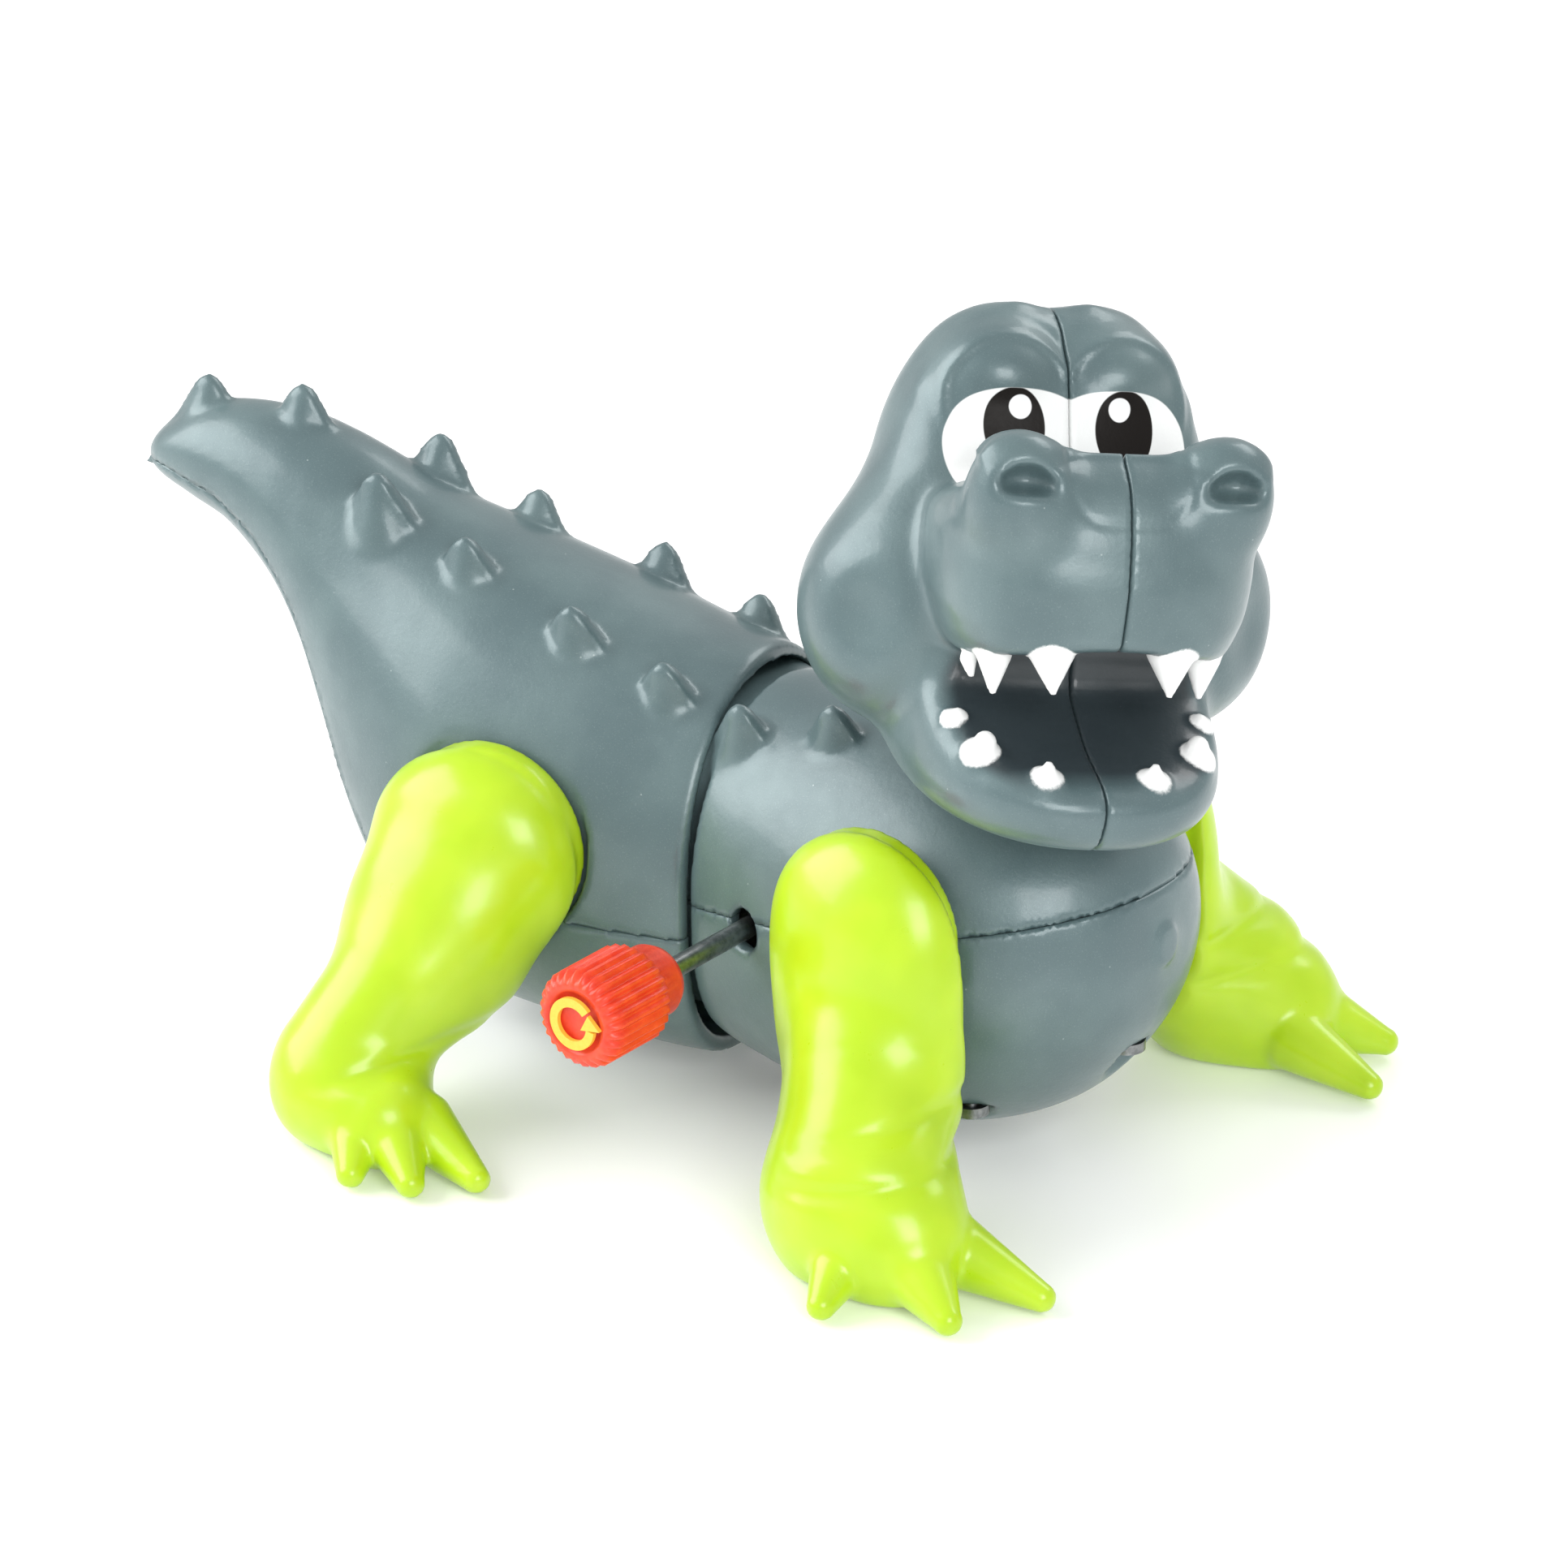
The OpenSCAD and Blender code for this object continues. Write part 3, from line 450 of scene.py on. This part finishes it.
STEP = 0.42
WALL = 1.5
SKIN_ROUND = 2         # squareness of the upper half of a section, outside, is at most this
CAVITY_ROUND = 2.25    # the same for the hollow, which keeps the shape of the CAD shells
LEG_FACE_Y = 15.2      # flat face that a leg's disc turns on
SHOULDER, SHOULDER_R = (24.4, 25.4), 8.4
HIP, HIP_R = (-17.8, 23), 8.8
POCKET_GAP = 0.35
PEG_R, PEG_LEN = 2.4, 3.2
WINDING = (10, 20.4)   # X and Z of the winding shaft
DRIVE = (24, 14.5)     # X and Z of the output shaft
SHAFT_HOLE_R = 1.6
WAIST_BACK, CHEST_END, TAIL_END = -9, 43.1, -61.9
BARREL_R = 11.7
# Screws of each half: x, y, seat height
FRONT_SCREWS = [(30.5, 10.5, 8.6), (30.5, -10.5, 8.6), (39, 0, 13)]
REAR_SCREWS = [(-27, 5, 6), (-27, -5, 6)]
WELL_WALL_R, WELL_R, SCREW_HOLE_R = 2.9, 1.9, 0.85
# Spikes of each half: x, distance from the middle plane, height of the tip
FRONT_SPIKES = [(4.4, 7.2, 38.0), (13.6, 6.4, 40.0)]
REAR_SPIKES = [(-5.1, 7.4, 39.8), (-14.4, 7, 43), (-26, 5.4, 46.4), (-35.4, 4.6, 50.2), (-46.2, 0, 54.6),
               (-56, 0, 53.8)]
FRONT_SEAM_TILT = 11.5
SPIKE_ROOT = 1.2       # a spike's foot reaches this deep below the skin
FRONT_ROWS = [
    [-9, 9, 8.4, 33.4, 3.2], [-4, 11.2, 6.8, 35.2, 2.8], [2.2, 11.9, 5.6, 35.8, 2.7],
    [2.6, 13.1, 4.4, 36.8, 2.8], [8, 14.8, 3.3, 37.3, 2.6], [14, 16.3, 2.8, 38, 2.5],
    [20, 17.1, 2.7, 38.3, 2.4], [26, 17.1, 3.2, 38, 2.3], [31, 16, 4.6, 37, 2.2],
    [35.5, 13.6, 7.2, 35.1, 2.1], [39, 10.4, 11, 32.6, 2], [41.4, 6.8, 15, 29.6, 2],
    [42.7, 2.4, 20, 25.4, 2]]
REAR_ROWS = [
    [0, 14.9, 1.9, 37.9, 2.8], [-4, 15.6, 1.7, 38.6, 2.7], [-9, 16.4, 1.7, 39.9, 2.5],
    [-16, 16.9, 1.9, 41.8, 2.4], [-23, 16.4, 2.4, 43.6, 2.3], [-28.5, 15, 3.8, 45.1, 2.2],
    [-33, 13.2, 7, 46.4, 2.1], [-36.6, 11.4, 12.4, 47.9, 2.1], [-39.6, 9.8, 20, 49.2, 2.1],
    [-42.8, 8.4, 28.4, 50.3, 2], [-46.6, 7.1, 35, 51.2, 2], [-51.5, 5.9, 39.8, 51.4, 2],
    [-56, 4.9, 41.8, 50.6, 2], [-59.5, 3.6, 43.2, 48.6, 2], [-61.8, 1.6, 44.4, 46.6, 2]]


def leg_pockets(p, field, outer, at, radius):
    """Round pockets for the leg discs, with floors inside the wall and holes for the pegs."""
    side = np.abs(p[1])
    disc = rod_y(p, at, radius + POCKET_GAP)
    floor = common(common(outer, disc - WALL, 0.3), np.abs(side - (LEG_FACE_Y - WALL / 2)) - WALL / 2, 0.3)
    field = np.minimum(field, floor)
    field = cut(field, common(disc, LEG_FACE_Y - side, 0.2), 0.7)
    return cut(field, common(rod_y(p, at, PEG_R + 0.1), 12 - side, 0.1), 0.1)


def screw_wells(p, field, outer, places):
    """Screw bosses with round recesses."""
    for x, y, seat in places:
        boss = common(common(outer, rod_z(p, (x, y), WELL_WALL_R), 0.3), np.abs(p[2] - seat - 2) - 3.6, 0.3)
        field = np.minimum(field, boss)
        field = cut(field, common(rod_z(p, (x, y), WELL_R), p[2] - seat, 0.15), 0.25)
        field = cut(field, common(rod_z(p, (x, y), SCREW_HOLE_R), p[2] - seat - 9, 0.1), 0.1)
    return field


def split(field, seam_value, rounding=0.12):
    """The two parts of a shell: where the seam's value is above 0, and below."""
    return common(field, SEAM_GAP - seam_value, rounding), common(field, seam_value + SEAM_GAP, rounding)


def shell_pair(half, upper, lower, low, placing, seam_side):
    for part, field in (("upper", upper), ("lower", lower)):
        piece_from(f"{half}_shell_{part}_skin", field, low, STEP, placing, f"{half}_body",
                   [f"{half}_shell_{part}"], GREY_SHELL, seam=(seam_side, part == "upper"))


def front_seam(x, z):
    """Height over the front half's seam, which rises towards the chest."""
    turn = math.radians(FRONT_SEAM_TILT)
    return (z - 21.2) * math.cos(turn) - (x - 10) * math.sin(turn)


def front_outside(p, back_round):
    """Outside of the front half: chest and waist barrel."""
    outer = common(loft(p, FRONT_ROWS, STEP, back_round), p[0] - CHEST_END, 1.6)
    outer = common(outer, WAIST_BACK - p[0], 1)
    barrel = common(rod_z(p, (PIVOT_X, 0), BARREL_R), np.abs(p[2] - 21) - 14, 7)
    return join(outer, barrel, 0.8)


def front_shells():
    low = (-18.3, -19.3, 1.5)
    p = grid(low, (44.5, 19.3, 46), STEP)
    outer = front_outside(p, SKIN_ROUND)
    field = np.maximum(outer, -(front_outside(p, CAVITY_ROUND) + WALL))
    field = leg_pockets(p, field, outer, SHOULDER, SHOULDER_R)
    field = screw_wells(p, field, outer, FRONT_SCREWS)
    for side in (-1, 1):
        field = cut(field, common(rod_y(p, DRIVE, SHAFT_HOLE_R), 12 - side * p[1], 0.1), 0.1)
    field = cut(field, rod_z(p, (PIVOT_X, 0), SHAFT_HOLE_R), 0.1)
    slot = np.hypot(p[0] - WINDING[0], np.maximum(np.abs(p[2] - WINDING[1] + 0.1) - 0.25, 0)) - 1.62
    field = cut(field, common(slot, p[1] + 4, 0.1), 0.35)
    upper, lower = split(field, front_seam(p[0], p[2]))
    thorns = np.minimum(*(spike(p, *place) for place in FRONT_SPIKES))
    upper = join(upper, cut(thorns, outer + SPIKE_ROOT, 0.1), 0.5)
    neck = stick(p, (23.7, 0, 30), (27, 0, 45.5), 3.15, 3.15)
    upper = cut(upper, neck, 0.2)
    shell_pair("front", upper, lower, low, FRONT, front_seam)


def polygon_side(x, z, corners):
    """Signed distance in the X-Z plane to a closed outline: below 0 inside."""
    near = np.full(np.broadcast(x, z).shape, 1e9)
    inside = np.zeros(near.shape, bool)
    for (ax, az), (bx, bz) in zip(corners, corners[1:] + corners[:1]):
        dx, dz = bx - ax, bz - az
        t = np.clip(((x - ax) * dx + (z - az) * dz) / (dx * dx + dz * dz), 0, 1)
        near = np.minimum(near, np.hypot(x - ax - t * dx, z - az - t * dz))
        crosses = ((az > z) != (bz > z)) & (x < ax + dx * (z - az) / (dz if dz else 1e-9))
        inside ^= crosses
    return np.where(inside, -near, near)


REAR_SEAM = [(6, 16.5), (-33, 16.5), (-36.5, 22), (-39.5, 30), (-43, 36.5), (-47.5, 41.6), (-52.5, 44.4),
             (-58, 45.5), (-66, 45.6), (-66, -5), (6, -5)]


def rear_seam(x, z):
    return polygon_side(x, z, REAR_SEAM)


def rear_shells():
    low = (-63.5, -19.3, 0.3)
    p = grid(low, (1.5, 19.3, 56), STEP)
    outer = common(common(loft(p, REAR_ROWS, STEP, SKIN_ROUND), TAIL_END - p[0], 1.4), p[0], 0.7)
    cavity = common(loft(p, REAR_ROWS, STEP, CAVITY_ROUND), TAIL_END - p[0], 1.4) + WALL
    field = cut(outer, cavity, 0.3)
    field = leg_pockets(p, field, outer, HIP, HIP_R)
    field = screw_wells(p, field, outer, REAR_SCREWS)
    for middle, half in ((3.4, 2), (38.4, 2)):
        boss = common(common(outer, rod_z(p, (PIVOT_X, 0), 2.8), 0.2), np.abs(p[2] - middle) - half, 0.2)
        field = np.minimum(field, boss)
    field = cut(field, common(rod_z(p, (PIVOT_X, 0), 1.55), np.abs(p[2] - 20.1) - 16.8, 0.1), 0.1)
    seam_value = rear_seam(p[0][:, 0, :], p[2][0, :, :]).astype(np.float32)
    upper, lower = split(field, seam_value[:, None, :])
    # Open fault: ahead of the rim, X above 0, nothing trims the foot of the first pair. It hangs down
    # inside the front half, and meets the motor case when the waist is bent to its limit.
    for place in REAR_SPIKES:
        upper = join(upper, cut(spike(p, *place), outer + SPIKE_ROOT, 0.1), 0.5)
    shell_pair("rear", upper, lower, low, REAR, rear_seam)


# ---- Head ----

HEAD_STEP = 0.32
HEAD_WALL = 2
THROAT_X = 11.3
JAW_X = 11              # the neck's flat underside ends here, behind the jaw
NECK_LEAN = 12          # degrees forward
NECK_X, NECK_Z = 25 - HEAD_X, 36
NECK_FACE = 4.3         # along the neck axis, as are the next two
BORE_TOP = 12
CHAMBER_MIDDLE, CHAMBER_HALF = 10.4, 2
BORE_R, CHAMBER_R = 3.1, 4.6
HOLLOW_REACH, HOLLOW_BOTTOM = 30, 57.5
MIDDLE_GAP = 0.02       # each half stops this far from the middle plane
CRANIUM_ROWS = [
    [44, -9, 8, 11, 2.3], [50, -12.3, 9, 13, 2.4], [57, -13.4, 8, 14.4, 2.5],
    [62, -13.2, 5.4, 13.7, 2.7], [66, -12.7, 3.1, 12.5, 2.9], [69.5, -11.8, 1.5, 10.9, 2.9],
    [72, -10.4, -0.5, 9.2, 2.7], [73.6, -8.8, -2.4, 7.2, 2.4], [74.7, -7, -4, 4.6, 2.2]]
MUZZLE_ROWS = [
    [50, 0, 20.6, 10.4, 2.5], [52.6, 0, 22.2, 11.8, 2.5], [54.2, 0, 22.7, 12.4, 2.5],
    [56, 0, 22.8, 12.9, 2.5], [59, 0, 22.7, 13.1, 2.5], [61.5, 1, 22.1, 12.9, 2.5],
    [63.8, 6.5, 21.4, 12.2, 2.4], [65.9, 11.4, 20.3, 11, 2.3], [67.3, 14.2, 19.1, 9.6, 2.3],
    [68.5, 16, 17.4, 7.6, 2.2]]
JAW_ROWS = [
    [36, -6, 17, 7, 2.2], [37, -8, 21.6, 10, 2.3], [38.4, -9, 23.8, 12, 2.4],
    [40.4, -9.6, 24.6, 12.9, 2.5], [42.4, -9.8, 24.4, 13, 2.5], [44.4, -9.8, 22.8, 12.8, 2.5],
    [47, -9.6, 19, 12.4, 2.4], [50, -9, 14.5, 12, 2.3]]
# Teeth of one side: root, tip, radii of root and tip
UPPER_TEETH = [((20.3, 5.0, 53.3), (21.5, 4.9, 50.4), 2.0, 0.32),
               ((17.3, 8.8, 52.0), (17.9, 8.7, 49.0), 1.5, 0.30),
               ((15.3, 10.2, 50.9), (15.8, 10.0, 49.7), 0.75, 0.3)]
LOWER_TEETH = [((21.6, 4.5, 42.9), (21.9, 4.5, 44.2), 1.5, 0.5),
               ((18.4, 9.1, 44.0), (18.6, 9.0, 45.0), 1.5, 0.95),
               ((14.6, 10.4, 45.5), (14.7, 10.3, 45.9), 1.0, 0.6)]


def mouth_space(p):
    """Open space between the jaws: the floor rises towards the throat, the roof drops to the sides."""
    floor = 42.5 + 0.35 * (24.2 - p[0]) - 0.7 * bump(p[0] - 17, 4) * bump(p[1], 7)
    roof = 53.9 - (0.021 + 0.0022 * np.maximum(18.5 - p[0], 0)) * p[1] ** 2
    return common(common(floor - p[2], p[2] - roof, 1.2), THROAT_X - p[0], 1.6)


def teeth(p, rows):
    field = None
    for root, tip, wide, fine in rows:
        tooth = stick(p, root, tip, wide, fine)
        field = tooth if field is None else np.minimum(field, tooth)
    return field


def mouth_corner(p):
    """Short deep crease where the cheek folds meet behind the mouth."""
    return stick(p, (10.9, 14.4, 52.4), (11.7, 13.6, 49.2), 0.95, 0.6)


def brows(p, field):
    """Groove between the brow lobes, heavy lids and the arcs over them."""
    high = 1 / (1 + np.exp(-(p[2] - 69.5) / 1.1))
    field = field + 0.55 * bump(p[1], 2.4) * high
    lid = ellipsoid(p, (-2.5, 4.9, 70.0), (4.1, 4.5, 3.1))
    field = join(field, lid, 1.4)
    arc = np.hypot((p[1] - 4.9), (p[2] - 67.9) / 1.02)
    facing = 1 / (1 + np.exp(-(p[0] + 3.6) / 0.6)) / (1 + np.exp(-(p[2] - 67.0) / 0.8))
    return field - facing * (0.40 * bump(arc - 5.5, 0.5) + 0.24 * bump(arc - 6.9, 0.55))


def head_half():
    """The head's left half, cut flat on the middle plane."""
    low = (-15.5, -1.4, 34.0)
    p = grid(low, (27.0, 22.0, 77.0), HEAD_STEP)
    q = (p[0], np.abs(p[1]), p[2])
    cranium = common(tower(p, CRANIUM_ROWS, HEAD_STEP), p[2] - 74.9, 1.2)
    cranium = common(cranium, 44 - p[2], 3)
    cranium = brows(q, cranium)
    jowl = ellipsoid(q, (0.2, 11.0, 50.2), (9.4, 9.1, 10.0))
    jowl = jowl + 1.6 * bump(np.sqrt((p[0] - 7.2) ** 2 + (q[1] - 17.0) ** 2 + (p[2] - 51.2) ** 2), 3.3)
    field = join(cranium, jowl, 4.5)
    muzzle = common(common(tower(p, MUZZLE_ROWS, HEAD_STEP), p[2] - 68.9, 1.0), 50 - p[2], 2)
    rim = ellipsoid(q, (17.3, 8.7, 65.9), (3.7, 3.9, 4.6))
    muzzle = join(muzzle, rim, 3)
    recess = common(ellipsoid(q, (22.8, 8.8, 66.9), (4.6, 3.1, 2.5)), 66.4 - p[2], 1.2)
    muzzle = cut(muzzle, recess, 0.8)
    over, under = q[1] - 2.0, 67.4 - p[2]
    panel = np.hypot(np.maximum(over, 0), np.maximum(under, 0)) + np.minimum(np.maximum(over, under), 0) - 3.1
    muzzle = muzzle + 0.11 * bump(panel, 0.3) * (p[0] > 15)
    field = join(field, muzzle, 1.6)
    jaw = common(tower(p, JAW_ROWS, HEAD_STEP), np.abs(p[2] - 43.3) - 7.1, 1.6)
    field = join(field, jaw, 1.8)
    field = cut(field, mouth_corner(q), 1.1)
    space = mouth_space(q)
    field = cut(field, space, 1.5)
    field = join(field, teeth(q, UPPER_TEETH), 0.3)
    field = join(field, teeth(q, LOWER_TEETH), 0.9)
    # Neck: a flat underside, a bore and a chamber, square to the neck axis
    lean = math.radians(NECK_LEAN)
    along = (p[0] - NECK_X) * math.sin(lean) + (p[2] - NECK_Z) * math.cos(lean)
    over = (p[0] - NECK_X) * math.cos(lean) - (p[2] - NECK_Z) * math.sin(lean)
    round_neck = np.hypot(over, p[1])
    past_jaw = 20 * (p[0] > JAW_X)
    field = common(field, NECK_FACE - along - past_jaw, 0.6)
    field = cut(field, common(round_neck - BORE_R, along - BORE_TOP, 0.1), 0.1)
    hollow = common(field + HEAD_WALL, round_neck - HOLLOW_REACH, 0.1)
    field = np.maximum(field, -common(hollow, HOLLOW_BOTTOM - p[2], 1))
    chamber = common(round_neck - CHAMBER_R, np.abs(along - CHAMBER_MIDDLE) - CHAMBER_HALF, 0.1)
    field = cut(field, chamber, 0.1)
    return low, common(field, MIDDLE_GAP - p[1], 0.14)


def head_shells():
    low, half = head_half()
    for name, flip in (("left", False), ("right", True)):
        piece, points = piece_from(f"head_shell_{name}_skin", half, low, HEAD_STEP, HEAD, "head",
                                   [f"head_shell_{name}"], FACE, flip)
        q = (points[:, 0], np.abs(points[:, 1]), points[:, 2])
        # Painted shade in the mouth mark: darkening of the mouth-corner crease, and of the inside of the mouth,
        # where it is partly dark paint and partly painted shade.
        crease_shade = np.clip(0.8 - mouth_corner(q) / 0.6, 0, 0.8)
        inside = np.clip((0.7 - mouth_space(q)) / 0.5, 0, 1)
        dark = inside * np.clip((23.2 - q[0]) / 2.5, 0, 1) * np.clip((11.4 - q[1]) / 1.6, 0, 1)
        marks = {"tooth": np.clip(1.05 - teeth(q, UPPER_TEETH + LOWER_TEETH) / 0.5, 0, 1),
                 "mouth": np.maximum(crease_shade, dark)}
        for mark, values in marks.items():
            attribute = piece.data.attributes.new(mark, "FLOAT", "POINT")
            attribute.data.foreach_set("value", values.astype(np.float32))


# ---- Legs: made for the right side, mirrored for the left ----

LEG_STEP = 0.36
DISC_THICK = 2.3
SOLE_Z = 0.02
CRANK_RECESS_R = 4.4


def leg_joint(p, field, at, radius):
    """Flat disc that turns in the body's pocket, its peg, and the screw hole in the peg."""
    inner = -LEG_FACE_Y - POCKET_GAP / 2
    flat = np.abs(p[1] - (inner - DISC_THICK / 2)) - DISC_THICK / 2
    disc = common(rod_y(p, at, radius), flat, 0.5)
    peg = common(rod_y(p, at, PEG_R), np.abs(p[1] - (inner + PEG_LEN / 2 - 0.5)) - PEG_LEN / 2 - 0.5, 0.2)
    field = join(field, np.minimum(disc, peg), 0.3)
    field = cut(field, common(rod_y(p, at, 0.8), -17.8 - p[1], 0.1), 0.1)
    return common(field, SOLE_Z - p[2], 0.8)


def toes(p, field, claws):
    """Fat blunt claws with clefts between them."""
    for root, tip, wide in claws:
        field = join(field, stick(p, root, tip, wide, 1.25), 0.6)
    return field


def fold(p, field, height, slope, deep, near, reach):
    """Soft crease across a leg, deepest near one X."""
    line = p[2] - height - slope * (p[0] - near)
    return field + deep * bump(line, 0.8) * bump(p[0] - near, reach)


def front_leg_field(p):
    thigh = ellipsoid(p, (24.9, -17.4, 25.2), (9.3, 5.4, 9.0))
    thigh = join(thigh, ellipsoid(p, (25.8, -18.6, 18.0), (9.3, 4.8, 11.5)), 3)
    shin = stick(p, (27.2, -20.2, 14.0), (30.4, -25.4, 7.6), 7.2, 7.8)
    field = join(thigh, shin, 3)
    heel = ellipsoid(p, (29.4, -27.2, 5.4), (6.0, 6.4, 7.4))
    instep = ellipsoid(p, (34.6, -27.6, 4.4), (7.2, 6.2, 6.6))
    field = join(field, join(heel, instep, 3), 3)
    field = fold(p, field, 9.8, 0.12, 0.45, 34, 6)
    field = fold(p, field, 13.6, 0.2, 0.35, 34, 5)
    return toes(p, field, [((33.0, -31.4, 3.6), (34.4, -36.4, 1.5), 2.9),
                           ((38.6, -29.4, 3.6), (44.2, -32.4, 1.6), 3.4),
                           ((39.8, -25.0, 3.4), (47.8, -24.4, 1.5), 3.0)])


def rear_leg_field(p):
    thigh = ellipsoid(p, (-18.5, -17.6, 22.2), (9.9, 6.6, 9.4))
    thigh = join(thigh, ellipsoid(p, (-20.0, -21.8, 16.2), (8.6, 6.8, 8.9)), 3)
    shin = stick(p, (-21.0, -25.4, 12.6), (-24.2, -30.6, 6.4), 6.4, 5.9)
    field = join(thigh, shin, 3)
    sole = stick(p, (-24.4, -32.6, 4.6), (-18.4, -34.0, 3.6), 5.2, 4.5)
    instep = ellipsoid(p, (-22, -31.6, 4.4), (6.0, 5.8, 5.0))
    field = join(field, join(sole, instep, 2), 2)
    field = fold(p, field, 8.6, 0.3, 0.4, -18, 5)
    return toes(p, field, [((-20.2, -35.2, 3.4), (-17.8, -40.4, 1.5), 2.9),
                           ((-17.0, -34.8, 3.3), (-12.4, -39.6, 1.5), 3.0),
                           ((-15.4, -32.6, 3.2), (-8.0, -36.2, 1.5), 2.9)])


def legs():
    shapes = [("front", front_leg_field, (14.5, -39.5, -0.8), (50.5, -10.5, 35.5),
               SHOULDER, SHOULDER_R, FRONT),
              ("rear", rear_leg_field, (-32.5, -43.5, -0.8), (-3.0, -10.5, 33.5), HIP, HIP_R, REAR)]
    for part, shape, low, high, at, radius, placing in shapes:
        p = grid(low, high, LEG_STEP)
        field = shape(p)
        behind = -LEG_FACE_Y - 2.15
        field = common(field, p[1] - behind, 0.6)
        field = leg_joint(p, field, at, radius)
        if part == "front":
            field = cut(field, common(rod_y(p, DRIVE, CRANK_RECESS_R), -20.6 - p[1], 0.2), 0.2)
        for side, flip in (("right", False), ("left", True)):
            piece_from(f"{part}_leg_{side}_skin", field, low, LEG_STEP, placing, f"{side}_{part}_leg",
                       [f"{part}_leg_{side}"], GREEN_LEG, flip)


# ---- Winding knob ----

RIBS = 28


def knob():
    """Ribbed knob with a domed collar; its axis is the winding shaft."""
    low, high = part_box("winding_knob")
    middle, length, radius = (low + high) / 2, (high.y - low.y) / MM, (high.x - low.x) / 2 / MM
    # Each ring: radius, depth from the inner end, share of the ribs
    rings = [(0.95, 0.0, 0), (2.0, 0.0, 0), (2.8, 0.45, 0), (3.2, 1.25, 0), (3.25, 3.1, 0), (3.5, 3.3, 0.3),
             (radius - 0.35, 3.75, 0.8), (radius, 4.2, 1)]
    rings += [(radius, 4.2 + (length - 5.2) * k / 6, 1) for k in range(1, 7)]
    rings += [(radius - 0.28, length - 0.45, 0.9), (radius - 0.75, length - 0.1, 0.35),
              (radius - 1.1, length, 0), (2.75, length, 0), (2.65, length - 0.28, 0),
              (0.6, length - 0.28, 0), (0.05, length - 0.28, 0)]
    around = RIBS * 8
    points, faces = [], []
    for r, depth, ribbed in rings:
        for k in range(around):
            angle = 2 * math.pi * k / around
            groove = abs(math.sin(RIBS * angle / 2)) ** 1.6
            reach = r - 0.42 * ribbed * (1 - groove)
            points.append((middle.x + reach * math.cos(angle) * MM, high.y - depth * MM,
                           middle.z + reach * math.sin(angle) * MM))
    for ring in range(len(rings) - 1):
        for k in range(around):
            a, b = ring * around + k, ring * around + (k + 1) % around
            faces.append((a, b, b + around, a + around))
    faces.append(tuple(range(around))[::-1])
    faces.append(tuple(range((len(rings) - 1) * around, len(rings) * around)))
    mesh = bpy.data.meshes.new("winding_knob_skin")
    mesh.from_pydata(points, [], faces)
    mesh.polygons.foreach_set("use_smooth", np.ones(len(mesh.polygons), bool))
    mesh.materials.append(SLOT_MATERIALS["red_knob"])
    piece = bpy.data.objects.new("winding_knob_skin", mesh)
    bpy.context.scene.collection.objects.link(piece)
    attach(piece, "winder")
    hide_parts("winding_knob")


front_shells()
rear_shells()
head_shells()
legs()
knob()

# ---- Floor, light and camera ----


def floor():
    mesh = bpy.data.meshes.new("floor")
    mesh.from_pydata([(-3, -3, 0), (3, -3, 0), (3, 3, 0), (-3, 3, 0)], [], [(0, 1, 2, 3)])
    ground = bpy.data.objects.new("floor", mesh)
    bpy.context.scene.collection.objects.link(ground)
    paint = Paint("white_floor")
    paint.set(Base_Color=(0.93, 0.93, 0.93, 1), Roughness=0.22)
    paint.set(Emission_Color=(1, 1, 1, 1), Emission_Strength=0.14)
    mesh.materials.append(paint.material)


def lamp(name, place, size, power, target):
    light = bpy.data.lights.new(name, "AREA")
    light.shape = "RECTANGLE"
    light.size, light.size_y = size
    light.energy = power
    made = bpy.data.objects.new(name, light)
    bpy.context.scene.collection.objects.link(made)
    made.location = place
    made.rotation_euler = (Vector(target) - Vector(place)).to_track_quat("-Z", "Y").to_euler()


def lights():
    world = bpy.data.worlds.new("studio")
    bpy.context.scene.world = world
    world.use_nodes = True
    world.node_tree.nodes["Background"].inputs["Color"].default_value = (1, 1, 1, 1)
    world.node_tree.nodes["Background"].inputs["Strength"].default_value = 0.68
    lamp("key", (-0.55, -0.35, 0.45), (0.7, 0.6), 6.5, (0, 0, 0.03))
    lamp("fill", (0.65, -0.45, 0.45), (0.40, 0.40), 4, (0, 0, 0.03))
    lamp("back", (0.1, 0.65, 0.60), (0.6, 0.3), 2.2, (0, 0, 0.03))


CAMERA_AZIMUTH, CAMERA_ELEVATION, CAMERA_DISTANCE = 37.5, 24, 0.6
VIEW_WIDTH = 0.1352
TARGET_X, TARGET_Z = 2.65, 26.5   # in the front half's frame


def camera():
    a, e = math.radians(CAMERA_AZIMUTH), math.radians(CAMERA_ELEVATION)
    back = Vector((math.sin(a) * math.cos(e), -math.cos(a) * math.cos(e), math.sin(e)))
    target = FRONT @ Vector((TARGET_X * MM, 0, TARGET_Z * MM))
    data = bpy.data.cameras.new("camera")
    data.lens = data.sensor_width * CAMERA_DISTANCE / VIEW_WIDTH
    data.clip_start, data.clip_end = 0.05, 20
    made = bpy.data.objects.new("camera", data)
    bpy.context.scene.collection.objects.link(made)
    made.rotation_mode = "QUATERNION"
    made.location = target + back * CAMERA_DISTANCE
    made.rotation_quaternion = (-back).to_track_quat("-Z", "Y")
    bpy.context.scene.camera = made


floor()
lights()
camera()
bpy.context.scene.view_settings.view_transform = "Standard"
